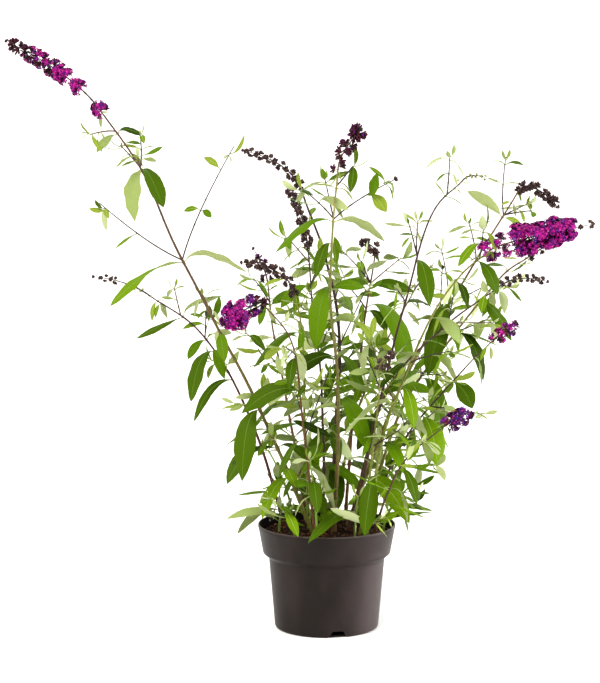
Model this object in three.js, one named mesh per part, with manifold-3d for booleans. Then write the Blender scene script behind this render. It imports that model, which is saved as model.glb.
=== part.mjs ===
// Butterfly bush (Buddleja davidii) growing in a round nursery pot.
// Millimetres, +Z up, -Y the front. The origin is the centre of the pot's flat underside.
// Every stem rises from the compost as one bare tapering limb, which ends where its spray begins. A spray
// is one solid: the stem's leafy upper part, its side shoots, opposite leaves and flower spike, fused.
// A few marked leaves and shoots are named one by one. The rest grow by a seeded rule, and any that would
// touch a neighbour or the pot isn't grown.

import * as THREE from "three";
import { mergeVertices } from "three/addons/utils/BufferGeometryUtils.js";
import Module from "manifold-3d";

const wasm = await Module();
wasm.setup();

// ---- driving dimensions ----

const GAP = 0.3; // clearance between solids that meet
const WELD = 1e-3; // corners nearer than this are one

const POT = {
  height: 146,
  rimRadius: 95, // outside, at the top
  rimChamfer: [0.5, 1], // inwards and down
  collarFoot: [88.4, 107], // radius and height of the collar's lower edge
  shoulder: [80.2, 99], // radius and height where the wall meets the collar
  footRadius: 72,
  footRound: 5, // height of the rounded edge at the floor
  wall: 1.8,
  floor: 2.5,
  facets: 32,
};

// Drain notches through the pot's foot, cut from a little outside and below it.
const NOTCH = {
  count: 3,
  firstDeg: 12,
  height: 9.5,
  footWidth: 26,
  headWidth: 14,
  reachIn: 8,
  depth: 13,
  margin: 1,
};

const COMPOST = {
  level: 134,
  foot: 10.1, // clear of the notches
  footInset: 3, // narrower than the pot's wall at its foot
  kneeRise: 0.5, // its shoulders lie this much higher than the pot's
  topInset: 0.2,
};
const FOOT_LEVEL = COMPOST.level + GAP; // where the stems are cut flat

const LEAF = {
  width: 0.25, // of its length
  thickness: 0.013, // of its length
  least: 0.5, // thickness of the smallest
  rootSunk: 0.85, // share of the twig's radius that the root reaches into
  stalk: 1, // half width of the root, or less on a thin twig
  spread: 58, // degrees between leaf and stem at the root
  lift: 0.4, // how far the blade follows its first heading before it turns to its tip
  droop: [-28, 62], // degrees below level from root to tip
  roll: 34,
  vary: [0.82, 1.12], // of the length that its place gives it
  turnVary: [-14, 14], // degrees, round the stem
  low: [0.85, 0.45], // size at a stem's foot, and its gain with height
  high: [1.45, 1.1], // the same further up, and its loss with height
  outline: [0.8, 0.85], // draws the widest place below the middle, and fills out the sides
  longBlade: 62, // leaves from this length up bend at two ribs, shorter ones at one
  ribs: { long: [0, 0.34, 0.7], short: [0, 0.45] }, // where its sections lie
};

const SHOOT = {
  from: 0.3, // share of the stem where side shoots begin
  chance: 0.3, // of one in the axil of a leaf
  length: [52, 104],
  spread: [36, 56],
  shorten: [1.2, 0.6], // its size at the stem's foot, and its loss with height
  rise: [-0.12, 0.3], // bend upwards, as a share of its length
  leaving: 41, // degrees from the stem where it begins
  lift: 0.35,
  radii: [1, 0.8, 0.6],
  leaf: 0.5, // its leaves against the stem's own
  pairs: [[0.9, 0.85]], // where its leaves grow, and their size
  above: 4, // height of its root above the leaf joint
  untested: 9, // stretch beside the stem that isn't tested against neighbours
};

const CLEAR = 1.2; // least air between a twig or leaf and any neighbour
const TAPER = 0.6; // share of its girth that a stem loses up to the neck
const LIMB = { sides: 6, step: 45, flare: 1.4 }; // flare at the compost
const STALK_SIDES = 4;
const LOW_SHOOT = { joints: [0.45, 0.72, 0.97], lift: 0.4, girth: 1.8, taper: 0.3 };
const MARK_REACH = 0.02; // a marked leaf this near to a joint, as a share of the stem, takes its place

// How strongly a spike keeps the stem's heading before it turns to its tip, the room that it takes, and the
// spacing of its clusters, both against its radius; the waist between clusters, as a share of the radius or
// else in millimetres; and its sides.
const SPIKES = {
  open: { arch: 0.12, bulk: 0.8, spacing: 1.1, waistShare: 0.8, sides: 6 },
  fading: { arch: 0.36, bulk: 0.8, spacing: 1.5, waist: 1, sides: 4 },
  spent: { arch: 0.45, bulk: 0.9, spacing: 2.6, waist: 1, sides: 4 },
  bud: { arch: 0.45, bulk: 1, spacing: 2.6, waist: 1, sides: 4 },
};
const SPIKE = { stalk: 1, tip: 0.3, ends: 0.75 }; // radius at the neck; the tip and the ends, of the fullest

// Each stem: its foot on the compost, the points that it passes, the neck below the flower spike and the
// spike's tip; its radius at the foot; the bare share of its length; the shares where pairs of leaves grow,
// and the direction of the lowest pair; leaf length; the spike's kind and radius. Marked leaves and shoots
// are [share of the stem, reach along x, y and z, roll in degrees].
const STEMS = [
  {
    name: "left_long", foot: [-19, -12], via: [[-93, -32, 314], [-197, -57, 523], [-250, -76, 646]],
    neck: [-302, -90, 724], tip: [-424, -80, 814],
    girth: 2.7, bare: 0.07, joints: [0.1, 0.2, 0.29, 0.47, 0.64, 0.85, 0.94], turn: 20, leaf: 84,
    spike: "fading", spikeRadius: 13, seed: 11,
    leaves: [
      [0.1, 26, -22, -14, 0], [0.13, -38, -34, -50, 10], [0.2, 62, -24, -30, -10], [0.2, -64, 12, -26, 20],
      [0.29, -24, -46, -90, 0], [0.64, -98, -22, -56, 50], [0.64, 84, 22, -16, -60],
      [0.85, -8, -26, -66, 150], [0.85, 30, -34, -46, 0],
    ],
    shoots: [[0.64, -112, -12, 82], [0.64, 68, 12, 156], [0.85, -2, 4, 48]],
  },
  {
    name: "left_low", foot: [-58, 43], via: [[-108, 30, 294], [-173, 45, 404]],
    neck: [-245, 60, 455], tip: [-323, 75, 480],
    girth: 2.3, bare: 0.42, joints: [0.5, 0.6, 0.74, 0.86, 0.95], turn: 35, leaf: 72,
    spike: "spent", spikeRadius: 5, seed: 23,
    leaves: [
      [0.5, -54, 20, -62, 80], [0.6, -32, -40, -64, 0], [0.6, 14, -32, -34, 0], [0.86, 54, 8, 28, 30],
      [0.86, -64, -18, -28, 40],
    ],
    shoots: [[0.86, -12, 4, 40]],
  },
  {
    name: "front_left", foot: [-24, 14], via: [[-30, -8, 285], [-34, -25, 416]],
    neck: [-44, -22, 467], tip: [-114, -48, 515],
    girth: 2.4, bare: 0.16, joints: [0.26, 0.45, 0.65, 0.84, 0.93], turn: 20, leaf: 84,
    spike: "spent", spikeRadius: 6, seed: 37,
    leaves: [[0.26, 40, -44, -50, 70], [0.45, -60, -46, -4, 0], [0.84, -66, -30, -42, 0]],
    shoots: [],
  },
  {
    name: "front_arch", foot: [-16, -40], via: [[-36, -80, 330], [-49, -105, 418]],
    neck: [-87, -122, 470], tip: [-142, -163, 444],
    girth: 2, bare: 0.3, joints: [0.4, 0.6, 0.74, 0.88], turn: 60, leaf: 78,
    spike: "open", spikeRadius: 21, seed: 41,
    leaves: [[0.6, -78, 12, -32, 60]],
    shoots: [],
  },
  {
    name: "centre_left", foot: [-4, 20], via: [[-6, 40, 313], [-19, 55, 438]],
    neck: [-26, 60, 522], tip: [-51, 60, 602],
    girth: 2.3, bare: 0.2, joints: [0.3, 0.45, 0.6, 0.74, 0.86, 0.94], turn: 50, leaf: 80,
    spike: "spent", spikeRadius: 7, seed: 59,
    leaves: [[0.8, -38, -30, -12, 0], [0.86, -42, -20, -26, 50]],
    shoots: [[0.86, 18, 14, 32]],
  },
  {
    name: "back_thick", foot: [5, 52], via: [[18, 85, 387], [-1, 105, 500]],
    neck: [-34, 112, 595], tip: [-115, 122, 652],
    girth: 3.2, bare: 0.34, joints: [0.42, 0.54, 0.66, 0.79, 0.92], turn: 70, leaf: 86,
    spike: "spent", spikeRadius: 6, seed: 61,
    leaves: [],
    shoots: [],
  },
  {
    name: "centre", foot: [10, -6], via: [[16, -15, 317], [4, -28, 483]],
    neck: [14, -34, 639], tip: [44, -44, 694],
    girth: 2.8, bare: 0.18, joints: [0.26, 0.37, 0.49, 0.675, 0.8, 0.86, 0.95], turn: 30, leaf: 88,
    spike: "fading", spikeRadius: 10, seed: 73,
    leaves: [
      [0.49, 38, -34, -48, 0], [0.49, -60, -18, -22, 70], [0.675, -20, -42, -76, 0],
      [0.675, 34, -20, -44, 20], [0.675, 48, 26, 0, -60], [0.8, -22, -34, -42, 0], [0.8, 6, 22, -32, 150],
      [0.86, -78, -28, -38, 0], [0.86, 70, 10, -28, 30],
    ],
    shoots: [[0.86, 82, 14, 56], [0.86, -42, 10, 44]],
  },
  {
    name: "centre_right", foot: [27, 64], via: [[36, 100, 259], [52, 140, 388]],
    neck: [70, 180, 498], tip: [51, 204, 514],
    girth: 2.5, bare: 0.25, joints: [0.34, 0.48, 0.64, 0.78, 0.88], turn: 55, leaf: 84,
    spike: "spent", spikeRadius: 8, seed: 83,
    leaves: [
      [0.72, 12, 18, -72, 150], [0.8, 64, -60, -76, 0], [0.88, 64, 8, -10, -50], [0.88, -48, 16, -2, 50],
    ],
    shoots: [[0.88, -38, 10, 48], [0.88, 44, 4, 40]],
  },
  {
    name: "right_slim", foot: [36, -4], via: [[64, -40, 290], [97, -95, 442], [135, -135, 586]],
    neck: [176, -155, 637], tip: [204, -168, 642],
    girth: 2.3, bare: 0.3, joints: [0.38, 0.5, 0.64, 0.76, 0.94], turn: 45, leaf: 80,
    spike: "bud", spikeRadius: 4, seed: 97,
    leaves: [[0.76, 16, -46, -56, 0], [0.94, -14, -6, 20, 0], [0.94, 26, 4, -14, 0]],
    shoots: [[0.76, 2, 6, 52]],
  },
  {
    name: "right_green", foot: [54, -34], via: [[78, -70, 289], [134, -85, 435], [174, -88, 499]],
    neck: [217, -90, 537], tip: [350, -110, 574],
    girth: 2.5, bare: 0.13, joints: [0.2, 0.32, 0.44, 0.57, 0.73, 0.86, 0.95], turn: 30, leaf: 88,
    spike: "open", spikeRadius: 20, seed: 103,
    leaves: [
      [0.2, -15, -44, -72, 0], [0.32, 30, -44, -38, 0], [0.36, 46, -30, -30, 20], [0.5, 18, -34, -52, 0],
      [0.57, -42, -26, -28, 0], [0.95, 26, -28, -42, 0],
    ],
    shoots: [],
  },
  {
    name: "right_tall", foot: [30, 42], via: [[107, 55, 335], [192, 85, 474]],
    neck: [267, 100, 596], tip: [323, 110, 576],
    girth: 2.6, bare: 0.34, joints: [0.42, 0.53, 0.64, 0.78, 0.92], turn: 45, leaf: 84,
    spike: "spent", spikeRadius: 8, seed: 113,
    leaves: [
      [0.64, -28, -44, -90, 0], [0.64, 26, -26, 32, 0], [0.78, -44, -24, 8, 0], [0.92, -48, 12, 36, -70],
      [0.92, 30, 12, -14, -60],
    ],
    shoots: [[0.6, 4, -12, 74], [0.92, 4, 0, 82], [0.92, 42, 2, 10]],
  },
  {
    name: "right_back", foot: [50, 54], via: [[110, 95, 297], [178, 130, 386], [247, 160, 467]],
    neck: [288, 170, 496], tip: [335, 190, 518],
    girth: 2.6, bare: 0.32, joints: [0.38, 0.48, 0.665, 0.8, 0.92], turn: 25, leaf: 88,
    spike: "spent", spikeRadius: 6, seed: 127,
    leaves: [[0.48, 28, -44, -76, 0], [0.665, 38, -34, -62, 0], [0.665, 58, -24, -14, 20]],
    shoots: [[0.48, 34, -22, 8]],
  },
  {
    name: "right_low", foot: [30, 16], via: [[82, 10, 327], [160, 18, 416]],
    neck: [238, 22, 474], tip: [302, 30, 480],
    girth: 2.4, bare: 0.3, joints: [0.4, 0.52, 0.64, 0.78, 0.92], turn: 65, leaf: 84,
    spike: "spent", spikeRadius: 5, seed: 137,
    leaves: [[0.92, 42, -30, -52, 0]],
    shoots: [],
  },
  {
    name: "right_thin", foot: [50, 20], via: [[110, -20, 272], [186, -95, 380]],
    neck: [220, -120, 420], tip: [251, -140, 447],
    girth: 1.9, bare: 0.3, joints: [0.42, 0.58, 0.74, 0.9], turn: 50, leaf: 66,
    spike: "open", spikeRadius: 11, seed: 149,
    leaves: [[0.9, 8, -10, -38, 60]],
    shoots: [],
  },
  {
    name: "right_bottom", foot: [64, -38], via: [[80, -100, 207], [108, -160, 272]],
    neck: [154, -206, 321], tip: [184, -220, 341],
    girth: 1.9, bare: 0.3, joints: [0.4, 0.6, 0.8], turn: 40, leaf: 68,
    spike: "open", spikeRadius: 12, seed: 151,
    leaves: [[0.6, 20, -30, -46, 0], [0.6, 56, -14, -8, 0]],
    shoots: [],
  },
  {
    name: "back_left", foot: [-26, 58], via: [[-52, 124, 276], [-74, 188, 380]],
    neck: [-84, 232, 452], tip: [-104, 262, 496],
    girth: 2.4, bare: 0.24, joints: [0.34, 0.48, 0.62, 0.76, 0.9], turn: 52, leaf: 86,
    spike: "fading", spikeRadius: 10, seed: 163,
    leaves: [],
    shoots: [],
  },
  {
    name: "back_right", foot: [8, 76], via: [[40, 142, 262], [88, 216, 366]],
    neck: [130, 268, 436], tip: [160, 300, 472],
    girth: 2.4, bare: 0.24, joints: [0.34, 0.48, 0.62, 0.76, 0.9], turn: 35, leaf: 86,
    spike: "open", spikeRadius: 13, seed: 173,
    leaves: [],
    shoots: [],
  },
  {
    name: "front_short", foot: [46, -20], via: [[62, -70, 262], [68, -108, 343]],
    neck: [69, -128, 381], tip: [85, -136, 403],
    girth: 2, bare: 0.2, joints: [0.34, 0.52, 0.7, 0.88], turn: 45, leaf: 80,
    spike: "spent", spikeRadius: 5, seed: 181,
    leaves: [],
    shoots: [],
  },
];

// Young shoots from the crown's foot: where each leaves the compost and its reach from there, the direction
// of its lowest pair of leaves, and their length. Their sprays begin at the compost.
const LOW_SHOOTS = [
  {
    name: "foot_west", foot: [-66, -6], reach: [4, -6, 34], turn: 0, leaf: 74, seed: 211,
    leaves: [[0.7, -74, -12, -2, 50]],
  },
  {
    name: "foot_south_west", foot: [-44, -58], reach: [-34, -30, 66], turn: 40, leaf: 78, seed: 223,
    leaves: [],
  },
  {
    name: "foot_south", foot: [38, -46], reach: [4, -12, 62], turn: 60, leaf: 84, seed: 227,
    leaves: [[0.6, -66, -58, -30, 0]],
  },
  {
    name: "foot_south_east", foot: [52, -62], reach: [20, -26, 40], turn: 20, leaf: 66, seed: 229,
    leaves: [[0.7, 34, 8, 12, -60]],
  },
  {
    name: "foot_east", foot: [78, -8], reach: [40, -8, 70], turn: 30, leaf: 78, seed: 233,
    leaves: [],
  },
  {
    name: "foot_north_east", foot: [62, 46], reach: [50, 34, 92], turn: 10, leaf: 82, seed: 239,
    leaves: [],
  },
  {
    name: "foot_north", foot: [-6, 80], reach: [-6, 44, 84], turn: 50, leaf: 84, seed: 241,
    leaves: [],
  },
  {
    name: "foot_north_west", foot: [-48, 62], reach: [-34, 36, 96], turn: 0, leaf: 82, seed: 251,
    leaves: [],
  },
  {
    name: "foot_middle", foot: [-14, -66], reach: [-10, -16, 118], turn: 20, leaf: 84, seed: 257,
    leaves: [],
  },
];

const COLOURS = {
  pot: 0x45413f,
  compost: 0x3a241a,
  limb: 0x7d5233,
  spray: 0x4f8a1c,
  youngSpray: 0x6a9c34,
};

// ---- small maths ----

const UP = new THREE.Vector3(0, 0, 1);
const EAST = new THREE.Vector3(1, 0, 0);
const radians = THREE.MathUtils.degToRad;
const vector = (xyz) => new THREE.Vector3(...xyz);

// The same numbers for the same seed, on any machine.
function seeded(seed) {
  let state = seed;
  return ([low, high]) => {
    state = (state * 1664525 + 1013904223) % 4294967296;
    return low + ((high - low) * state) / 4294967296;
  };
}

// Weighted sum of vectors.
const mix = (...terms) =>
  terms.reduce((sum, [v, weight]) => sum.addScaledVector(v, weight), new THREE.Vector3());

// The part of a direction that is square to an axis, as a unit vector.
const squareTo = (direction, axis) => mix([direction, 1], [axis, -direction.dot(axis)]).normalize();

// A curve that leaves `root` along `heading`, follows it for `lift` of its span, and turns to its tip.
function bend(root, heading, tip, lift) {
  const control = mix([root, 1], [heading, lift * root.distanceTo(tip)]);
  return new THREE.QuadraticBezierCurve3(root, control, tip);
}

// Evenly spaced points between two shares of a curve's length.
function stretch(curve, from, to, steps) {
  return Array.from({ length: steps + 1 }, (_, i) => curve.getPointAt(from + ((to - from) * i) / steps));
}

// A place on a line of evenly spaced points, and the line's direction there.
function alongLine(line, share) {
  const place = share * (line.length - 1);
  const i = Math.min(Math.floor(place), line.length - 2);
  const run = mix([line[i + 1], 1], [line[i], -1]);
  return [mix([line[i], 1], [run, place - i]), run.normalize()];
}

// ---- growth: where every limb, shoot, leaf and spike is ----

// A stem runs through its points to the neck; the spike goes on from there to its tip.
function stemCurves(stem) {
  const foot = new THREE.Vector3(stem.foot[0], stem.foot[1], FOOT_LEVEL);
  const neck = vector(stem.neck);
  const stalk = new THREE.CatmullRomCurve3([foot, ...stem.via.map(vector), neck], false, "catmullrom");
  const spikeCurve = bend(neck, stalk.getTangent(1), vector(stem.tip), SPIKES[stem.spike].arch);
  return { stalk, spikeCurve, length: stalk.getLength() };
}

// Leaves are largest a third of the way up a stem and smallest below its spike.
const leafShare = (share) => Math.min(LEAF.low[0] + LEAF.low[1] * share, LEAF.high[0] - LEAF.high[1] * share);

// The direction of a leaf pair across a stem.
function pairDirection(along, turnDeg) {
  const east = squareTo(EAST, along);
  return mix([east, Math.cos(radians(turnDeg))], [along.clone().cross(east), Math.sin(radians(turnDeg))]);
}

// A leaf at a joint, from its reach (root to tip) and its roll about its own rib.
function leafTo(joint, along, reach, rollDeg, twigRadius) {
  const level = new THREE.Vector3(reach.x, reach.y, 0).normalize();
  const out = squareTo(mix([level, 1], [along, 1e-3]), along);
  const root = mix([joint, 1], [out, twigRadius * (1 - LEAF.rootSunk)]);
  const heading = mix([along, Math.cos(radians(LEAF.spread))], [out, Math.sin(radians(LEAF.spread))]);
  const rib = bend(root, heading, mix([root, 1], [reach, 1]), LEAF.lift);
  const side = level.clone().cross(UP);
  const length = rib.getLength();
  const stalk = Math.min(LEAF.stalk, 0.6 * twigRadius);
  return { rib, side, roll: radians(rollDeg), length, half: (length * LEAF.width) / 2, stalk };
}

// A point of the rib, with the directions across the blade and out of its upper face.
function bladeFrame(leaf, share) {
  const at = leaf.rib.getPoint(share);
  const side = squareTo(leaf.side, leaf.rib.getTangent(share));
  const face = side.clone().cross(leaf.rib.getTangent(share));
  const across = mix([side, Math.cos(leaf.roll)], [face, Math.sin(leaf.roll)]);
  const above = mix([face, Math.cos(leaf.roll)], [side, -Math.sin(leaf.roll)]);
  return { at, across, above };
}

// A blade's half width along its rib: widest before the middle, with a long point.
const bladeShape = (share) => Math.sin(Math.PI * share ** LEAF.outline[0]) ** LEAF.outline[1];

function shootTo(joint, along, reach) {
  const root = mix([joint, 1], [along, SHOOT.above]);
  const out = squareTo(reach, along);
  const heading = mix([along, Math.cos(radians(SHOOT.leaving))], [out, Math.sin(radians(SHOOT.leaving))]);
  return bend(root, heading, mix([joint, 1], [reach, 1]), SHOOT.lift);
}

// ---- keeping apart: capsules for what has grown, beads for what wants to grow ----

const grown = [];
const CAPSULES = { stalk: 16, spike: 5, low: 5, shoot: 4 }; // how many follow each
const BEAD_STEP = 5; // along a twig
const BLADE_BEADS = 11; // along each lane of a blade
const BLADE_CAPSULES = [0.05, 0.3, 0.55, 0.8, 1]; // shares of a blade where they join
const LANES = [-0.8, -0.4, 0, 0.4, 0.8]; // rows along a blade, as shares of its half width
const LANE_RADIUS = [0.8, 0.2]; // at least, and against the blade's half width

function addCapsules(owner, line, radiusAt) {
  for (let i = 1; i < line.length; i++) {
    const [a, b, radius] = [line[i - 1], line[i], radiusAt((i - 0.5) / (line.length - 1))];
    grown.push({ owner, a, b, radius, centre: mix([a, 0.5], [b, 0.5]), bound: a.distanceTo(b) / 2 + radius });
  }
}

function distanceTo(capsule, point) {
  const run = mix([capsule.b, 1], [capsule.a, -1]);
  const along = mix([point, 1], [capsule.a, -1]).dot(run) / run.lengthSq();
  return point.distanceTo(mix([capsule.a, 1], [run, THREE.MathUtils.clamp(along, 0, 1)])) - capsule.radius;
}

// The pot and the compost, as far as a leaf or twig is concerned.
function meetsPot({ at, radius }) {
  const reach = radius + CLEAR;
  const out = Math.hypot(at.x, at.y);
  if (out + reach < POT.rimRadius - 3 * POT.wall) return at.z - reach < COMPOST.level;
  return out - reach < POT.rimRadius && at.z - reach < POT.height;
}

function isFree(owner, beads) {
  if (beads.some(meetsPot)) return false;
  const middle = beads[Math.floor(beads.length / 2)].at;
  const span = Math.max(...beads.map((bead) => bead.at.distanceTo(middle) + bead.radius)) + CLEAR;
  const near = grown.filter((c) => c.owner !== owner && c.centre.distanceTo(middle) < c.bound + span);
  return !beads.some((bead) => near.some((capsule) => distanceTo(capsule, bead.at) < bead.radius + CLEAR));
}

const laneRadius = (leaf) => Math.max(LANE_RADIUS[0], LANE_RADIUS[1] * leaf.half);

function lanePoint(leaf, share, lane) {
  const { at, across } = bladeFrame(leaf, share);
  return mix([at, 1], [across, lane * leaf.half * bladeShape(share)]);
}

function leafBeads(leaf) {
  const shares = Array.from({ length: BLADE_BEADS }, (_, i) => (i + 1) / BLADE_BEADS);
  return shares.flatMap((share) =>
    LANES.map((lane) => ({ at: lanePoint(leaf, share, lane), radius: laneRadius(leaf) })),
  );
}

function addLeafCapsules(owner, leaf) {
  for (const lane of LANES) {
    const line = BLADE_CAPSULES.map((share) => lanePoint(leaf, share, lane));
    addCapsules(owner, line, () => laneRadius(leaf));
  }
}

function twigBeads(curve, radius) {
  const length = curve.getLength();
  const steps = Math.ceil((length - SHOOT.untested) / BEAD_STEP);
  return stretch(curve, SHOOT.untested / length, 1, steps).map((at) => ({ at, radius }));
}

// ---- the plan grown out ----

function tryLeaf(plant, leaf) {
  if (!isFree(plant.name, leafBeads(leaf))) return;
  addLeafCapsules(plant.name, leaf);
  plant.leaves.push(leaf);
}

function tryShoot(plant, curve, turn) {
  if (!isFree(plant.name, twigBeads(curve, SHOOT.radii[0]))) return;
  addCapsules(plant.name, stretch(curve, 0, 1, CAPSULES.shoot), () => SHOOT.radii[0]);
  plant.shoots.push({ line: stretch(curve, 0, 1, SHOOT.radii.length - 1), turn });
}

// Two leaves face to face at a joint.
function growPair(plant, joint, along, turn, size, twigRadius, draw) {
  const out = pairDirection(along, turn);
  for (const hand of [1, -1]) {
    const level = new THREE.Vector3(out.x * hand, out.y * hand, 0).normalize();
    const droop = radians(draw(LEAF.droop));
    const length = size * draw(LEAF.vary);
    const reach = mix([level, length * Math.cos(droop)], [UP, -length * Math.sin(droop)]);
    tryLeaf(plant, leafTo(joint, along, reach, draw([-LEAF.roll, LEAF.roll]), twigRadius));
  }
}

// A joint with marked leaves grows none by the rule.
const isMarked = (plant, share) => plant.marks.some((at) => Math.abs(at - share) < MARK_REACH);

function growMarked(plant, plan) {
  for (const [share, x, y, z, roll] of plan.leaves) {
    const [joint, along] = [plant.stalk.getPointAt(share), plant.stalk.getTangentAt(share)];
    tryLeaf(plant, leafTo(joint, along, vector([x, y, z]), roll, plant.radiusAt(share)));
  }
  for (const [share, x, y, z] of plan.shoots ?? []) {
    const curve = shootTo(plant.stalk.getPointAt(share), plant.stalk.getTangentAt(share), vector([x, y, z]));
    tryShoot(plant, curve, plan.turn);
  }
}

function growByRule(plant, plan) {
  const draw = seeded(plan.seed);
  plant.joints.forEach((share, index) => {
    const [joint, along] = [plant.stalk.getPointAt(share), plant.stalk.getTangentAt(share)];
    const turn = plan.turn + 90 * index + draw(LEAF.turnVary);
    if (!isMarked(plant, share))
      growPair(plant, joint, along, turn, plan.leaf * leafShare(share), plant.radiusAt(share), draw);
    if (share < SHOOT.from || !plan.spike) return;
    for (const hand of [1, -1]) {
      if (draw([0, 1]) > SHOOT.chance) continue;
      const spread = radians(draw(SHOOT.spread));
      const length = draw(SHOOT.length) * (SHOOT.shorten[0] - SHOOT.shorten[1] * share);
      const out = pairDirection(along, turn);
      const heading = mix([along, Math.cos(spread)], [out, hand * Math.sin(spread)], [UP, draw(SHOOT.rise)]);
      tryShoot(plant, shootTo(joint, along, heading.multiplyScalar(length)), draw([0, 90]));
    }
  });
  for (const shoot of plant.shoots)
    for (const [share, size] of SHOOT.pairs) {
      const [joint, along] = alongLine(shoot.line, share);
      const leafSize = plan.leaf * SHOOT.leaf * size;
      growPair(plant, joint, along, shoot.turn + 90 * share, leafSize, SHOOT.radii[2], draw);
    }
}

// The shares of the stalk where marked leaves grow.
const marksOf = (plan) => plan.leaves.map(([share]) => share);

function stemPlant(plan) {
  const plant = { ...plan, ...stemCurves(plan), marks: marksOf(plan), leaves: [], shoots: [] };
  plant.radiusAt = (share) => plan.girth * (1 - TAPER * share);
  addCapsules(plant.name, stretch(plant.stalk, 0, 1, CAPSULES.stalk), plant.radiusAt);
  const spikeRoom = plan.spikeRadius * SPIKES[plan.spike].bulk;
  addCapsules(plant.name, stretch(plant.spikeCurve, MARK_REACH, 1, CAPSULES.spike), () => spikeRoom);
  return plant;
}

function lowPlant(plan) {
  const foot = new THREE.Vector3(plan.foot[0], plan.foot[1], FOOT_LEVEL);
  const stalk = bend(foot, UP, mix([foot, 1], [vector(plan.reach), 1]), LOW_SHOOT.lift);
  const plant = { ...plan, joints: LOW_SHOOT.joints, marks: marksOf(plan), stalk, leaves: [], shoots: [] };
  plant.radiusAt = (share) => LOW_SHOOT.girth * (1 - LOW_SHOOT.taper * share);
  addCapsules(plant.name, stretch(stalk, 0, 1, CAPSULES.low), () => LOW_SHOOT.girth);
  return plant;
}

// Marked leaves come first on every plant, so that the rule's leaves keep out of their way.
function growPlan() {
  const stems = STEMS.map(stemPlant);
  const low = LOW_SHOOTS.map(lowPlant);
  stems.forEach((plant, i) => growMarked(plant, STEMS[i]));
  low.forEach((plant, i) => growMarked(plant, LOW_SHOOTS[i]));
  stems.forEach((plant, i) => growByRule(plant, STEMS[i]));
  low.forEach((plant, i) => growByRule(plant, LOW_SHOOTS[i]));
  return { stems, low };
}

// ---- solids ----

// A closed solid through rings of points, each with as many points as the last; a single point is a tip.
function loft(rings) {
  const sides = rings[0].length;
  const faces = [];
  for (let k = 1; k < rings.length; k++) {
    const [low, high] = [(k - 1) * sides, k * sides];
    for (let i = 0; i < sides; i++) {
      const next = (i + 1) % sides;
      if (rings[k].length === 1) faces.push(low + i, low + next, high);
      else faces.push(low + i, low + next, high + next, low + i, high + next, high + i);
    }
  }
  for (let i = 1; i < sides - 1; i++) faces.push(0, i + 1, i);
  const last = (rings.length - 1) * sides;
  for (let i = 1; i < rings.at(-1).length - 1; i++) faces.push(last, last + i, last + i + 1);
  return solidFrom(rings.flat().flatMap((p) => p.toArray()), faces);
}

function solidFrom(positions, faces) {
  const make = (triVerts) =>
    new wasm.Manifold(new wasm.Mesh({ numProp: 3, vertProperties: new Float32Array(positions), triVerts }));
  const solid = make(new Uint32Array(faces));
  return solid.volume() > 0 ? solid : make(new Uint32Array(faces).reverse());
}

function solidOf(geometry) {
  const bare = geometry.clone();
  bare.deleteAttribute("normal");
  bare.deleteAttribute("uv");
  const merged = mergeVertices(bare, WELD);
  return solidFrom(merged.attributes.position.array, merged.index.array);
}

function geometryOf(solid) {
  const { vertProperties, triVerts } = solid.getMesh();
  const geometry = new THREE.BufferGeometry();
  geometry.setAttribute("position", new THREE.BufferAttribute(vertProperties, 3));
  geometry.setIndex(new THREE.BufferAttribute(triVerts, 1));
  return geometry;
}

function ring(centre, square, radius, sides) {
  const east = squareTo(Math.abs(square.x) > 0.9 ? UP : EAST, square);
  const north = square.clone().cross(east);
  return Array.from({ length: sides }, (_, i) => {
    const angle = (2 * Math.PI * i) / sides;
    return mix([centre, 1], [east, radius * Math.cos(angle)], [north, radius * Math.sin(angle)]);
  });
}

// A tapering tube along a line. `firstCut` is the direction that its first end is cut square to.
function tube(line, radii, sides, firstCut) {
  const rings = line.map((point, k) => {
    const [before, after] = [line[Math.max(k - 1, 0)], line[Math.min(k + 1, line.length - 1)]];
    const square = k === 0 && firstCut ? firstCut : mix([after, 1], [before, -1]).normalize();
    return ring(point, square, radii[k], sides);
  });
  return loft(rings);
}

// A bare limb, cut level where it leaves the compost, with a small flare there.
function limbSolid(plant) {
  const steps = Math.max(2, Math.round((plant.bare * plant.length) / LIMB.step));
  const radii = Array.from({ length: steps + 1 }, (_, i) => plant.radiusAt((plant.bare * i) / steps));
  radii[0] *= LIMB.flare;
  return tube(stretch(plant.stalk, 0, plant.bare, steps), radii, LIMB.sides, UP);
}

// A leaf's sections are thin triangles: flat above, keeled below.
function leafSolid(leaf) {
  const thickness = Math.max(LEAF.least, leaf.length * LEAF.thickness);
  const rings = (leaf.length > LEAF.longBlade ? LEAF.ribs.long : LEAF.ribs.short).map((share) => {
    const { at, across, above } = bladeFrame(leaf, share);
    const half = share === 0 ? leaf.stalk : leaf.half * bladeShape(share);
    return [
      mix([at, 1], [across, -half]),
      mix([at, 1], [across, half]),
      mix([at, 1], [above, share === 0 ? -leaf.stalk : -thickness]),
    ];
  });
  return loft([...rings, [leaf.rib.getPoint(1)]]);
}

// A spike is a row of clusters, fullest in the middle: one knobbly body in flower, beads on a stalk after it.
function spikeSolid(plant) {
  const { spacing, waist, waistShare, sides } = SPIKES[plant.spike];
  const { spikeCurve: curve, spikeRadius: radius } = plant;
  const stations = 2 * Math.max(2, Math.round(curve.getLength() / (spacing * radius)));
  const between = waistShare ?? waist / radius;
  const radii = Array.from({ length: stations + 1 }, (_, i) => {
    const fullness = SPIKE.ends + (1 - SPIKE.ends) * Math.sin((Math.PI * i) / stations);
    return radius * fullness * (i % 2 ? 1 : between);
  });
  radii[0] = SPIKE.stalk;
  radii[stations] = Math.max(SPIKE.stalk, SPIKE.tip * radius);
  return tube(stretch(curve, 0, 1, stations), radii, sides);
}

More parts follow.
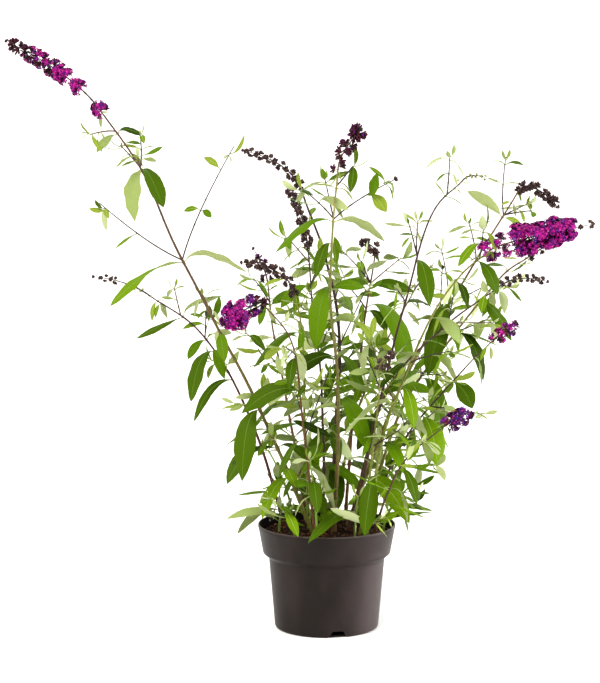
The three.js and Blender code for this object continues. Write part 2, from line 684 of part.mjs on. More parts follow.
// A spray's stalk bends at its leaf joints. A stem's starts clear of its bare limb, and a young shoot's where
// it leaves the compost.
function stalkSolid(plant) {
  const from = plant.spike ? plant.bare + GAP / plant.length : 0;
  const joints = [...plant.joints, ...plant.marks].filter((share) => share > from);
  const shares = [from, ...new Set(joints.sort((a, b) => a - b)), 1];
  const line = shares.map((share) => plant.stalk.getPointAt(share));
  return tube(line, shares.map(plant.radiusAt), STALK_SIDES, plant.spike ? undefined : UP);
}

// One body: slivers that fusing leaves are dropped, and hollows filled.
function fused(solids) {
  const bodies = solidOf(geometryOf(wasm.Manifold.union(solids))).decompose();
  return bodies.reduce((most, body) => (body.volume() > most.volume() ? body : most));
}

function spraySolid(plant) {
  return fused([
    stalkSolid(plant),
    ...(plant.spike ? [spikeSolid(plant)] : []),
    ...plant.shoots.map((shoot) => tube(shoot.line, SHOOT.radii, 3)),
    ...plant.leaves.map(leafSolid),
  ]);
}

// ---- pot and compost ----

function lathe(profile) {
  const geometry = new THREE.LatheGeometry(profile.map(([r, z]) => new THREE.Vector2(r, z)), POT.facets);
  geometry.rotateX(Math.PI / 2);
  return solidOf(geometry);
}

function potSolid() {
  const { wall, floor, height, rimRadius, rimChamfer, collarFoot, shoulder, footRadius, footRound } = POT;
  let pot = lathe([
    [0, 0],
    [footRadius - footRound, 0],
    [footRadius, footRound],
    shoulder,
    collarFoot,
    [rimRadius, height - rimChamfer[1]],
    [rimRadius - rimChamfer[0], height],
    [rimRadius - wall, height],
    [collarFoot[0] - wall, collarFoot[1] + wall / 2],
    [shoulder[0] - wall, shoulder[1] + wall / 2],
    [footRadius - wall, footRound + floor],
    [footRadius - footRound - wall, floor],
    [0, floor],
  ]);
  const [halfFoot, halfHead] = [NOTCH.footWidth / 2 + NOTCH.margin, NOTCH.headWidth / 2];
  const outline = new THREE.Shape([
    new THREE.Vector2(-halfFoot, -NOTCH.margin),
    new THREE.Vector2(halfFoot, -NOTCH.margin),
    new THREE.Vector2(halfHead, NOTCH.height),
    new THREE.Vector2(-halfHead, NOTCH.height),
  ]);
  for (let i = 0; i < NOTCH.count; i++) {
    const cutter = new THREE.ExtrudeGeometry(outline, { depth: NOTCH.depth, bevelEnabled: false });
    cutter.rotateX(Math.PI / 2);
    cutter.translate(0, NOTCH.reachIn - footRadius, 0);
    cutter.rotateZ(radians(NOTCH.firstDeg + (360 / NOTCH.count) * i));
    pot = pot.subtract(solidOf(cutter));
  }
  return pot;
}

function compostSolid() {
  const inset = POT.wall + GAP;
  const { collarFoot, shoulder, footRadius, rimRadius, height } = POT;
  const climb = (COMPOST.level - collarFoot[1]) / (height - collarFoot[1]);
  const wallRadius = collarFoot[0] + (rimRadius - collarFoot[0]) * climb;
  const rise = POT.wall / 2 + COMPOST.kneeRise;
  return lathe([
    [0, COMPOST.foot],
    [footRadius - COMPOST.footInset - inset, COMPOST.foot],
    [shoulder[0] - inset, shoulder[1] + rise],
    [collarFoot[0] - inset, collarFoot[1] + rise],
    [wallRadius - COMPOST.topInset - inset, COMPOST.level],
    [0, COMPOST.level],
  ]);
}

// ---- the scene graph ----

function meshOf(name, solid, colour, roughness) {
  const geometry = geometryOf(solid);
  geometry.computeVertexNormals();
  const material = new THREE.MeshStandardMaterial({ color: colour, roughness, metalness: 0 });
  const mesh = new THREE.Mesh(geometry, material);
  mesh.name = name;
  return mesh;
}

const bush = new THREE.Group();
bush.name = "butterfly_bush";
bush.add(meshOf("pot", potSolid(), COLOURS.pot, 0.55));
bush.add(meshOf("compost", compostSolid(), COLOURS.compost, 0.95));
const { stems, low } = growPlan();
for (const plant of stems) {
  bush.add(meshOf("stem_" + plant.name, limbSolid(plant), COLOURS.limb, 0.8));
  bush.add(meshOf("spray_" + plant.name, spraySolid(plant), COLOURS.spray, 0.6));
}
for (const plant of low) bush.add(meshOf("spray_" + plant.name, spraySolid(plant), COLOURS.youngSpray, 0.6));

export default bush;
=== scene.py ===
import math

import bpy
import numpy as np
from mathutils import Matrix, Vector


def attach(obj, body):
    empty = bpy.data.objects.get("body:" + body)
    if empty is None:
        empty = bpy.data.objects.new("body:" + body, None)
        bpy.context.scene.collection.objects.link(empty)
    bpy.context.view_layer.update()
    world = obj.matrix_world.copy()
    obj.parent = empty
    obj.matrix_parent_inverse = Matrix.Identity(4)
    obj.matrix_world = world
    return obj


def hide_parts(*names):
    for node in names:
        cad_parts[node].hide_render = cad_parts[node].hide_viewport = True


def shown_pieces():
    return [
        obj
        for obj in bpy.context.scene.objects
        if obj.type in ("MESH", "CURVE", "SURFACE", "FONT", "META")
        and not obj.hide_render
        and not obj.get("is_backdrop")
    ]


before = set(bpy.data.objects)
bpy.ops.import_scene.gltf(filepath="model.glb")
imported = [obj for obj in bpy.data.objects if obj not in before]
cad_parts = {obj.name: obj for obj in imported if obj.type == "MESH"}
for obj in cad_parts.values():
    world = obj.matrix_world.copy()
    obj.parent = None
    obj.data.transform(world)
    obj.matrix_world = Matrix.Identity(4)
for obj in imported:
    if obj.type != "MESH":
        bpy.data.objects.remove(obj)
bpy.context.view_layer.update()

# A butterfly bush in a nursery pot. Sizes are millimetres until they reach a mesh; +Z is up, -Y the front.
# The plant grows by one seeded rule: first what the solids hold, then finer twigs and leaves between them.

mm = 0.001
up = np.array([0.0, 0.0, 1.0])
east = np.array([1.0, 0.0, 0.0])

# One dictionary for each stem: its line from the compost to the neck and on to the tip of its flower spike,
# the shares of its length where leaves sit, and the leaves and shoots with a place of their own: share, reach
# and a leaf's roll. `marks` changes one of those leaves and `lesser` the size of a pair. `added` are leaves
# on the stem or on a side shoot, and `fine` is the stretch with fine growth. `bloom` are the flower clusters:
# from and to past the neck, step, distance from the axis, radius, number of flowers and their state. `ends`
# are those at the tips of side shoots.
stems = [
    dict(name="left_long", seed=11, foot=[-19, -12],
        via=[[-93, -32, 314], [-197, -57, 523], [-250, -76, 646]], neck=[-302, -90, 724],
        tip=[-424, -80, 814], girth=2.7, turn=20, leaf=84, spike="fading", spikeRadius=13, bark="olive",
        joints=[0.1, 0.2, 0.29, 0.47, 0.64, 0.85, 0.94], fine=(0.08, 0.36), sparse=True, bareShoots=(0, 1),
        lesser={0.47: 0.62}, bracts=((0.93, 36), (0.99, 30)),
        leaves=[[0.1, 26, -22, -14, 0], [0.13, -38, -34, -50, 10], [0.2, 62, -24, -30, -10],
        [0.2, -64, 12, -26, 20], [0.29, -24, -46, -90, 0], [0.64, -98, -22, -56, 50],
        [0.64, 84, 22, -16, -60], [0.85, -8, -26, -66, 150], [0.85, 30, -34, -46, 0]],
        shoots=[[0.64, -112, -12, 82], [0.64, 68, 12, 156], [0.85, -2, 4, 48]],
        marks={5: dict(broad=0.85, roll=-40, turning=74), 6: dict(broad=0.8, roll=40, turning=-24),
        7: dict(broad=1.45, roll=150), 8: dict(broad=1.35)},
        added=[(0, 0.52, -30, -8, -20, 24, 0.6), (0, 0.9, -24, -6, 2, 50, 1.2),
        (0, 0.92, -14, -4, 12, 50, 1.2), (0, 0.9, -26, -4, -5, 20, 0.6), (1, 0.42, -22, -8, 0, 50, 1.2),
        (1, 0.42, 15, -10, -8, -60, 1.6), (1, 0.78, -22, -6, 18, 60, 1.3), (1, 0.78, -30, -4, -4, -60, 0.7),
        (1, 0.93, 20, 2, 26, -70, 0.5)],
        bloom=[(-2, 3, 5, 3.2, 11, 20, "open"), (40, 46, 6, 3, 10, 18, "open"),
        (62, 78, 5.3, 4, 10.5, 16, "open"), (84, 101, 8.5, 3.2, 10.5, 18, "fading"),
        (109, 119, 8.5, 2.8, 10, 17, "fading"), (127, 145, 8.5, 2.4, 9.2, 17, "wilted"),
        (149, 150, 5, 1, 5, 8, "wilted")]),
    dict(name="left_low", seed=23, foot=[-58, 43], via=[[-108, 30, 294], [-173, 45, 404]],
        neck=[-245, 60, 455], tip=[-323, 75, 480], girth=2.3, turn=35, leaf=72, spike="spent", spikeRadius=5,
        bark="red", joints=[0.5, 0.6, 0.74, 0.86, 0.95], fine=(0.55, 0.8), sparse=True,
        leaves=[[0.5, -54, 20, -62, 80], [0.6, -32, -40, -64, 0], [0.6, 14, -32, -34, 0],
        [0.86, 54, 8, 28, 30], [0.86, -64, -18, -28, 40]], shoots=[[0.86, -12, 4, 40]],
        marks={0: dict(share=0.57, broad=0.5), 1: dict(share=0.69), 2: dict(share=0.69),
        4: dict(broad=0.6, roll=-6, turning=58)},
        bloom=[(14, 32, 9, 2, 4.5, 7, "bud"), (54, 81, 7, 2.2, 4.8, 12, "capsule")]),
    dict(name="front_left", seed=37, foot=[-24, 14], via=[[-30, -8, 285], [-34, -25, 416]],
        neck=[-44, -22, 467], tip=[-114, -48, 515], girth=2.4, turn=20, leaf=84, spike="spent", spikeRadius=6,
        bark="green", joints=[0.26, 0.45, 0.65, 0.84, 0.93], fine=(0.2, 0.96),
        leaves=[[0.26, 40, -44, -50, 70], [0.45, -60, -46, -4, 0], [0.84, -66, -30, -42, 0]]),
    dict(name="front_arch", seed=41, foot=[-16, -40], via=[[-36, -80, 330], [-49, -105, 418]],
        neck=[-87, -122, 470], tip=[-142, -163, 444], girth=2, turn=60, leaf=78, spike="open", spikeRadius=21,
        bark="brown", joints=[0.4, 0.6, 0.74, 0.88], fine=(0.3, 0.9), leaves=[[0.6, -78, 12, -32, 60]],
        bloom=[(-5, -4, 5, 7, 7, 10, "capsule"), (2, 8, 6, 7, 8, 12, "wilted"),
        (10, 26, 6, 8, 9, 14, "violet"), (32, 62, 4.3, 10, 12, 18, "open"), (34, 62, 7, 4, 11, 14, "open")]),
    dict(name="centre_left", seed=59, foot=[-4, 20], via=[[-6, 40, 313], [-19, 55, 438]], neck=[-26, 60, 522],
        tip=[-51, 60, 602], girth=2.3, turn=50, leaf=80, spike="spent", spikeRadius=7, bark="dark",
        joints=[0.3, 0.45, 0.6, 0.74, 0.86, 0.94],
        leaves=[[0.8, -38, -30, -12, 0], [0.86, -42, -20, -26, 50]], shoots=[[0.86, 18, 14, 32]]),
    dict(name="back_thick", seed=61, foot=[5, 52], via=[[18, 85, 387], [-1, 105, 500]], neck=[-34, 112, 595],
        tip=[-115, 122, 652], girth=3.2, turn=70, leaf=86, spike="spent", spikeRadius=6, bark="dark",
        joints=[0.42, 0.54, 0.66, 0.79, 0.92]),
    dict(name="centre", seed=73, foot=[10, -6], via=[[16, -15, 317], [4, -28, 483]], neck=[14, -34, 639],
        tip=[44, -44, 694], girth=2.8, turn=30, leaf=88, spike="fading", spikeRadius=10, bark="straw",
        joints=[0.26, 0.37, 0.49, 0.675, 0.8, 0.86, 0.95], bareShoots=(0,), ends=[(0, 6, 14, "capsule")],
        leaves=[[0.49, 38, -34, -48, 0], [0.49, -60, -18, -22, 70], [0.675, -20, -42, -76, 0],
        [0.675, 34, -20, -44, 20], [0.675, 48, 26, 0, -60], [0.8, -22, -34, -42, 0], [0.8, 6, 22, -32, 150],
        [0.86, -78, -28, -38, 0], [0.86, 70, 10, -28, 30]], shoots=[[0.86, 82, 14, 56], [0.86, -42, 10, 44]],
        added=[(0, 0.56, 14, -8, 31, -62, 2.1), (0, 0.6, 24, -12, -24, -58, 1.6),
        (0, 0.86, -22, 4, 24, 60, 0.6), (0, 0.88, 10, 2, -24, -40, 0.6)],
        bloom=[(0, 1, 5, 9, 7.5, 16, "wilted"), (14, 15, 5, 6, 7, 13, "wilted"),
        (24, 41, 6, 6.5, 9, 18, "wilted"), (52, 61, 4, 3.5, 11, 22, "wilted")]),
    dict(name="centre_right", seed=83, foot=[27, 64], via=[[36, 100, 259], [52, 140, 388]],
        neck=[70, 180, 498], tip=[51, 204, 514], girth=2.5, turn=55, leaf=84, spike="spent", spikeRadius=8,
        bark="brown", joints=[0.34, 0.48, 0.64, 0.78, 0.88], fine=(0.12, 0.7),
        leaves=[[0.72, 12, 18, -72, 150], [0.8, 64, -60, -76, 0], [0.88, 64, 8, -10, -50],
        [0.88, -48, 16, -2, 50]], shoots=[[0.88, -38, 10, 48], [0.88, 44, 4, 40]]),
    dict(name="right_slim", seed=97, foot=[36, -4], via=[[64, -40, 290], [97, -95, 442], [135, -135, 586]],
        neck=[176, -155, 637], tip=[204, -168, 642], girth=2.3, turn=45, leaf=80, spike="bud", spikeRadius=4,
        bark="dark", joints=[0.38, 0.5, 0.64, 0.76, 0.94], fine=(0.12, 0.6), sparse=True,
        leaves=[[0.76, 16, -46, -56, 0], [0.94, -14, -6, 20, 0], [0.94, 26, 4, -14, 0]],
        shoots=[[0.76, 2, 6, 52]], bloom=[(6, 34, 7, 1.5, 3.2, 7, "bud")]),
    dict(name="right_green", seed=103, foot=[54, -34], via=[[78, -70, 289], [134, -85, 435], [174, -88, 499]],
        neck=[217, -90, 537], tip=[350, -110, 574], girth=2.5, turn=30, leaf=88, spike="open", spikeRadius=20,
        bark="green", joints=[0.2, 0.32, 0.44, 0.57, 0.73, 0.86, 0.95],
        leaves=[[0.2, -15, -44, -72, 0], [0.32, 30, -44, -38, 0], [0.36, 46, -30, -30, 20],
        [0.5, 18, -34, -52, 0], [0.57, -42, -26, -28, 0], [0.95, 26, -28, -42, 0]],
        marks={5: dict(broad=1.5)},
        bloom=[(-9, -8, 5, 14, 11, 28, "open"), (0, 1, 5, 13, 8, 10, "tubes"), (9, 18, 7, 12, 9, 13, "open"),
        (30, 112, 3.9, 12, 12, 20, "open"), (34, 108, 6.5, 6, 9.5, 12, "open"),
        (124, 125, 5, 2, 6, 9, "capsule"), (138, 139, 5, 1, 6, 10, "capsule")]),
    dict(name="right_tall", seed=113, foot=[30, 42], via=[[107, 55, 335], [192, 85, 474]],
        neck=[267, 100, 596], tip=[323, 110, 576], girth=2.6, turn=45, leaf=84, spike="spent", spikeRadius=8,
        bark="olive", joints=[0.42, 0.53, 0.64, 0.78, 0.92], fine=(0.12, 0.7), sparse=True, bareShoots=(2,),
        ends=[(0, 5, 12, "capsule"), (1, 4.5, 9, "bud")],
        leaves=[[0.64, -28, -44, -90, 0], [0.64, 26, -26, 32, 0], [0.78, -44, -24, 8, 0],
        [0.92, -48, 12, 36, -70], [0.92, 30, 12, -14, -60]],
        shoots=[[0.6, 4, -12, 74], [0.92, 4, 0, 82], [0.92, 42, 2, 10]]),
    dict(name="right_back", seed=127, foot=[50, 54], via=[[110, 95, 297], [178, 130, 386], [247, 160, 467]],
        neck=[288, 170, 496], tip=[335, 190, 518], girth=2.6, turn=25, leaf=88, spike="spent", spikeRadius=6,
        bark="olive", joints=[0.38, 0.48, 0.665, 0.8, 0.92], fine=(0.12, 0.7),
        leaves=[[0.48, 28, -44, -76, 0], [0.665, 38, -34, -62, 0], [0.665, 58, -24, -14, 20]],
        shoots=[[0.48, 34, -22, 8]]),
    dict(name="right_low", seed=137, foot=[30, 16], via=[[82, 10, 327], [160, 18, 416]], neck=[238, 22, 474],
        tip=[302, 30, 480], girth=2.4, turn=65, leaf=84, spike="spent", spikeRadius=5, bark="dark",
        joints=[0.4, 0.52, 0.64, 0.78, 0.92], leaves=[[0.92, 42, -30, -52, 0]], marks={0: dict(broad=1.35)}),
    dict(name="right_thin", seed=149, foot=[50, 20], via=[[110, -20, 272], [186, -95, 380]],
        neck=[220, -120, 420], tip=[251, -140, 447], girth=1.9, turn=50, leaf=66, spike="open",
        spikeRadius=11, bark="dark", joints=[0.42, 0.58, 0.74, 0.9], leaves=[[0.9, 8, -10, -38, 60]],
        added=[(None, 0.54, 20, -34, -64, -10, 1.5), (None, 0.75, 26, -16, -34, -48, 1.8)],
        bloom=[(3, 36, 8, 5, 7.5, 12, "fading")]),
    dict(name="right_bottom", seed=151, foot=[64, -38], via=[[80, -100, 207], [108, -160, 272]],
        neck=[154, -206, 321], tip=[184, -220, 341], girth=1.9, turn=40, leaf=68, spike="open",
        spikeRadius=12, bark="dark", joints=[0.4, 0.6, 0.8],
        leaves=[[0.6, 20, -30, -46, 0], [0.6, 56, -14, -8, 0]], bloom=[(3, 32, 7, 5, 9, 15, "violet")]),
    dict(name="back_left", seed=163, foot=[-26, 58], via=[[-52, 124, 276], [-74, 188, 380]],
        neck=[-84, 232, 452], tip=[-104, 262, 496], girth=2.4, turn=52, leaf=86, spike="fading",
        spikeRadius=10, bark="brown", joints=[0.34, 0.48, 0.62, 0.76, 0.9],
        bloom=[(2, 46, 9, 5, 7, 9, "wilted")]),
    dict(name="back_right", seed=173, foot=[8, 76], via=[[40, 142, 262], [88, 216, 366]],
        neck=[130, 268, 436], tip=[160, 300, 472], girth=2.4, turn=35, leaf=86, spike="open", spikeRadius=13,
        bark="olive", joints=[0.34, 0.48, 0.62, 0.76, 0.9], bloom=[(2, 48, 6, 3, 6, 9, "bud")]),
    dict(name="front_short", seed=181, foot=[46, -20], via=[[62, -70, 262], [68, -108, 343]],
        neck=[69, -128, 381], tip=[85, -136, 403], girth=2, turn=45, leaf=80, spike="spent", spikeRadius=5,
        bark="green", joints=[0.34, 0.52, 0.7, 0.88]),
]

# Leafy shoots from the compost, round the foot.
lowShoots = [
    dict(name="foot_west", seed=211, foot=[-66, -6], reach=[4, -6, 34], turn=0, leaf=74, tuft=0.5,
        lesser={0.45: 0.55, 0.97: 0.5}, leaves=[[0.7, -74, -12, -2, 50]],
        marks={0: dict(broad=0.6, roll=226)}),
    dict(name="foot_south_west", seed=223, foot=[-44, -58], reach=[-34, -30, 66], turn=40, leaf=78, tuft=0.3,
        lesser={0.45: 0.75, 0.72: 0.5, 0.97: 0.6}),
    dict(name="foot_south", seed=227, foot=[38, -46], reach=[4, -12, 62], turn=60, leaf=84,
        leaves=[[0.6, -66, -58, -30, 0]]),
    dict(name="foot_south_east", seed=229, foot=[52, -62], reach=[20, -26, 40], turn=20, leaf=66,
        leaves=[[0.7, 34, 8, 12, -60]]),
    dict(name="foot_east", seed=233, foot=[78, -8], reach=[40, -8, 70], turn=30, leaf=78),
    dict(name="foot_north_east", seed=239, foot=[62, 46], reach=[50, 34, 92], turn=10, leaf=82),
    dict(name="foot_north", seed=241, foot=[-6, 80], reach=[-6, 44, 84], turn=50, leaf=84),
    dict(name="foot_north_west", seed=251, foot=[-48, 62], reach=[-34, 36, 96], turn=0, leaf=82,
        lesser={0.45: 0.6, 0.72: 0.6, 0.97: 0.6}),
    dict(name="foot_middle", seed=257, foot=[-14, -66], reach=[-10, -16, 118], turn=20, leaf=84),
]

# What holds for a plant whose dictionary says nothing else.
plainPlant = {
    "leaves": (), "shoots": (), "fine": (0.12, 0.96), "tuft": 0.7, "sparse": False, "bareShoots": (),
    "lesser": {}, "bracts": ((0.965, 24), (0.995, 15)), "ends": (), "marks": {}, "added": (),
}

rule = {
    "footLevel": 134.3,
    "taper": 0.6,  # share of its girth that a stem loses up to the neck
    "clear": 1.2,  # least air between a twig or leaf and any neighbour
    "markReach": 0.02,  # share of a stem to each side of a joint where a leaf of its own replaces the pair
    "vary": (0.82, 1.12), "turnVary": (-14, 14), "spikeFrom": 0.02,
    "leafWidth": 0.25, "blade": (0.8, 0.85),  # under 1 a blade is widest below its middle, and fuller
    "rootSunk": 0.85, "lift": 0.4,
    "spread": 58, "droop": (-28, 62), "roll": 34,  # degrees
    "low": (0.85, 0.45), "high": (1.45, 1.1),  # a leaf's size rises along the stem and falls again
    "shootFrom": 0.3, "shootChance": 0.3, "shootLength": (52, 104), "shootSpread": (36, 56),
    "shorten": (1.2, 0.6), "rise": (-0.12, 0.3), "leaving": 41, "shootLift": 0.35, "above": 4, "untested": 9,
    "shootGirth": 1.0, "shootPair": (0.9, 0.85), "shootLeaf": 0.5,
    "shootTwig": 0.6, "shootTest": 5,  # millimetres between the points of a shoot that are tested
    "lowJoints": (0.45, 0.72, 0.97), "lowGirth": 1.8, "lowTaper": 0.3,
    "bladeGirth": (0.8, 0.2),  # radius of a blade's capsules: at least, and of its half width
    "lanes": np.array([-0.8, -0.4, 0, 0.4, 0.8]),  # where capsules run along a blade, of its half width
    "laneCuts": np.array([0.05, 0.3, 0.55, 0.8, 1]), "beads": np.arange(1, 12) / 11,
    "spikeArch": {"open": 0.12, "fading": 0.36, "spent": 0.45, "bud": 0.45},
    "spikeBulk": {"open": 0.8, "fading": 0.8, "spent": 0.9, "bud": 1},
}
seedSteps = {"rule": 0, "looks": 300, "bark": 900, "fine": 5000, "spike": 7000}
curveSteps = 201
wideReach = 0.02  # of a curve's length to each side, over which a shoot's heading is taken


def seeded(seed):
    state, full = [seed], 2**32

    def draw(low, high):
        state[0] = (state[0] * 1664525 + 1013904223) % full
        return low + (high - low) * state[0] / full

    return draw


def drawFor(plant, task):
    return seeded(plant["seed"] + seedSteps[task])


# The entry of a list of (limit, entry) that a pick between 0 and 1 falls to.
def choose(pick, steps):
    return next(entry for limit, entry in steps if pick < limit)


def unit(vector):
    return vector / np.linalg.norm(vector, axis=-1, keepdims=True)


def squareTo(direction, axis):
    return unit(direction - axis * np.sum(direction * axis, axis=-1, keepdims=True))


def turned(first, second, degrees):
    return math.cos(math.radians(degrees)) * first + math.sin(math.radians(degrees)) * second


# A curve is kept as close points and the share of its length that each lies at.
def curveOf(points):
    run = np.concatenate([[0], np.cumsum(np.linalg.norm(np.diff(points, axis=0), axis=1))])
    return {"points": points, "run": run / run[-1], "length": run[-1]}


def bend(root, heading, tip, lift):
    control = root + heading * lift * np.linalg.norm(tip - root)
    t = np.linspace(0, 1, curveSteps)[:, None]
    return curveOf((1 - t) ** 2 * root + 2 * (1 - t) * t * control + t * t * tip)


def through(points):
    points = np.array(points, float)
    ends = np.vstack([2 * points[0] - points[1], points, 2 * points[-1] - points[-2]])
    made = []
    for t in np.linspace(0, len(points) - 1, curveSteps):
        k = min(int(t), len(points) - 2)
        w = t - k
        a, b, c, d = ends[k : k + 4]
        v, u = (c - a) / 2, (d - b) / 2
        made.append((2 * b - 2 * c + v + u) * w**3 + (3 * c - 3 * b - 2 * v - u) * w**2 + v * w + b)
    return curveOf(np.array(made))


def pointsAt(curve, shares):
    return np.stack([np.interp(shares, curve["run"], curve["points"][:, i]) for i in range(3)], axis=-1)


def headingAt(curve, share, reach=0.002):
    ends = pointsAt(curve, np.clip([share - reach, share + reach], 0, 1))
    return unit(ends[1] - ends[0])


def placeOn(curve, share, reach=0.002):
    return pointsAt(curve, share), headingAt(curve, share, reach)


def endOf(curve):
    return pointsAt(curve, 1.0), headingAt(curve, 1 - wideReach, wideReach)


def leafTo(joint, along, reach, rollDeg, twigRadius):
    reach = np.array(reach, float)
    level = unit(np.array([reach[0], reach[1], 0]))
    out = squareTo(level + along * 1e-3, along)
    root = joint + out * twigRadius * (1 - rule["rootSunk"])
    heading = turned(along, out, rule["spread"])
    length = bend(root, heading, root + reach, rule["lift"])["length"]
    return {
        "root": root, "control": root + heading * rule["lift"] * np.linalg.norm(reach), "tip": root + reach,
        "side": np.cross(level, up), "roll": math.radians(rollDeg), "turning": 0,
        "length": length, "half": length * rule["leafWidth"] / 2,
    }


def bladeFrames(leaf, shares, twist=0.0):
    t = shares[:, None]
    at = (1 - t) ** 2 * leaf["root"] + 2 * (1 - t) * t * leaf["control"] + t * t * leaf["tip"]
    tangent = unit((1 - t) * (leaf["control"] - leaf["root"]) + t * (leaf["tip"] - leaf["control"]))
    side = squareTo(leaf["side"], tangent)
    face = np.cross(side, tangent)
    roll = leaf["roll"] + twist * t
    return at, side * np.cos(roll) + face * np.sin(roll), face * np.cos(roll) - side * np.sin(roll)


def lanePoints(leaf, shares):
    at, across, _ = bladeFrames(leaf, shares)
    lean, full = rule["blade"]
    half = (leaf["half"] * np.abs(np.sin(np.pi * shares**lean)) ** full)[:, None, None]
    return at[:, None, :] + across[:, None, :] * rule["lanes"][None, :, None] * half


def shootTo(joint, along, reach):
    reach = np.array(reach, float)
    heading = turned(along, squareTo(reach, along), rule["leaving"])
    return bend(joint + along * rule["above"], heading, joint + reach, rule["shootLift"])


def pairDirection(along, turnDeg):
    first = squareTo(east, along)
    return turned(first, np.cross(along, first), turnDeg)


# What has grown is kept as capsules, and a new twig or leaf has to stay clear of them.
mostCapsules = 90000
room = {key: np.zeros((mostCapsules, 3)) for key in ("a", "run", "centre")}
for key, kind in (("radius", float), ("bound", float), ("owner", int), ("blade", bool)):
    room[key] = np.zeros(mostCapsules, kind)
room["count"] = 0


def addCapsules(owner, line, radii, blade=False):
    a, b = line[:-1], line[1:]
    rows = slice(room["count"], room["count"] + len(a))
    news = {"a": a, "run": b - a, "centre": (a + b) / 2, "radius": radii, "owner": owner, "blade": blade,
            "bound": np.linalg.norm(b - a, axis=1) / 2 + radii}
    for key, value in news.items():
        room[key][rows] = value
    room["count"] = rows.stop


def meetsPot(beads, radius):
    reach, rim = radius + rule["clear"], potShape["rim"][0]
    out = np.hypot(beads[:, 0], beads[:, 1])
    inside = out + reach < rim - 3 * potShape["wall"]
    low = np.where(inside, beads[:, 2] - reach < compostShape["level"],
                   (out - reach < rim) & (beads[:, 2] - reach < potShape["height"]))
    return low.any()


# With `own` given, the plant's own blades have to be clear as well, from that bead on.
def isFree(owner, beads, radius, own=None):
    if meetsPot(beads, radius):
        return False
    count = room["count"]
    middle = beads[len(beads) // 2]
    span = np.linalg.norm(beads - middle, axis=1).max() + radius + rule["clear"]
    close = np.linalg.norm(room["centre"][:count] - middle, axis=1) < room["bound"][:count] + span
    same = room["owner"][:count] == owner
    if not clearOf(beads, radius, rule["clear"] if own is None else fineRule["clear"], close & ~same):
        return False
    if own is None:
        return True
    mine = close & same & room["blade"][:count]
    return clearOf(beads[own:], radius * fineRule["ownGirth"], fineRule["clear"], mine)


def clearOf(beads, radius, air, chosen):
    rows = np.flatnonzero(chosen)
    if len(rows) == 0 or len(beads) == 0:
        return True
    a, run = room["a"][rows], room["run"][rows]
    offset = beads[:, None, :] - a[None]
    along = np.clip(np.sum(offset * run, axis=2) / np.maximum(np.sum(run * run, axis=1), 1e-9), 0, 1)
    apart = np.linalg.norm(offset - run[None] * along[..., None], axis=2) - room["radius"][rows]
    return bool((apart >= radius + air).all())


def tryLeaf(plant, leaf, kind="leaf", fine=False, broad=1.0):
    least, part = rule["bladeGirth"]
    radius = max(least, part * leaf["half"])
    beads = lanePoints(leaf, rule["beads"]).reshape(-1, 3)
    if not isFree(plant["index"], beads, radius, fineRule["ownFrom"] if fine else None):
        return
    grid = lanePoints(leaf, rule["laneCuts"])
    for lane in range(len(rule["lanes"])):
        addCapsules(plant["index"], grid[:, lane], radius, True)
    plant["grownLeaves"].append({**leaf, "kind": kind, "broad": broad})


def tryShoot(plant, curve, turn, kind="shoot"):
    girth = rule["shootGirth"]
    steps = math.ceil((curve["length"] - rule["untested"]) / rule["shootTest"])
    if steps > 0:
        beads = pointsAt(curve, np.linspace(rule["untested"] / curve["length"], 1, steps + 1))
        if not isFree(plant["index"], beads, girth):
            return None
    addCapsules(plant["index"], pointsAt(curve, np.linspace(0, 1, 5)), girth)
    plant["grownShoots"].append({"curve": curve, "turn": turn, "kind": kind})
    return plant["grownShoots"][-1]


def growPair(plant, place, turn, size, twigRadius, draw, fine=False, kind="leaf"):
    out = pairDirection(place[1], turn)
    for hand in (1, -1):
        level = unit(np.array([out[0] * hand, out[1] * hand, 0]))
        droop = math.radians(draw(*rule["droop"]))
        length = size * draw(*rule["vary"])
        reach = level * length * math.cos(droop) - up * length * math.sin(droop)
        tryLeaf(plant, leafTo(*place, reach, draw(-rule["roll"], rule["roll"]), twigRadius), kind, fine)


def leafShare(share):
    return min(rule["low"][0] + rule["low"][1] * share, rule["high"][0] - rule["high"][1] * share)


def growMarked(plant):
    for index, (share, *reach, roll) in enumerate(plant["leaves"]):
        mark = {"share": share, "roll": roll, "turning": 0, "broad": 1.0, **plant["marks"].get(index, {})}
        place = placeOn(plant["stalk"], mark["share"])
        leaf = leafTo(*place, reach, mark["roll"], plant["radiusAt"](mark["share"]))
        leaf["turning"] = mark["turning"]
        tryLeaf(plant, leaf, "marked", broad=mark["broad"])
    for share, *reach in plant["shoots"]:
        tryShoot(plant, shootTo(*placeOn(plant["stalk"], share), reach), plant["turn"])


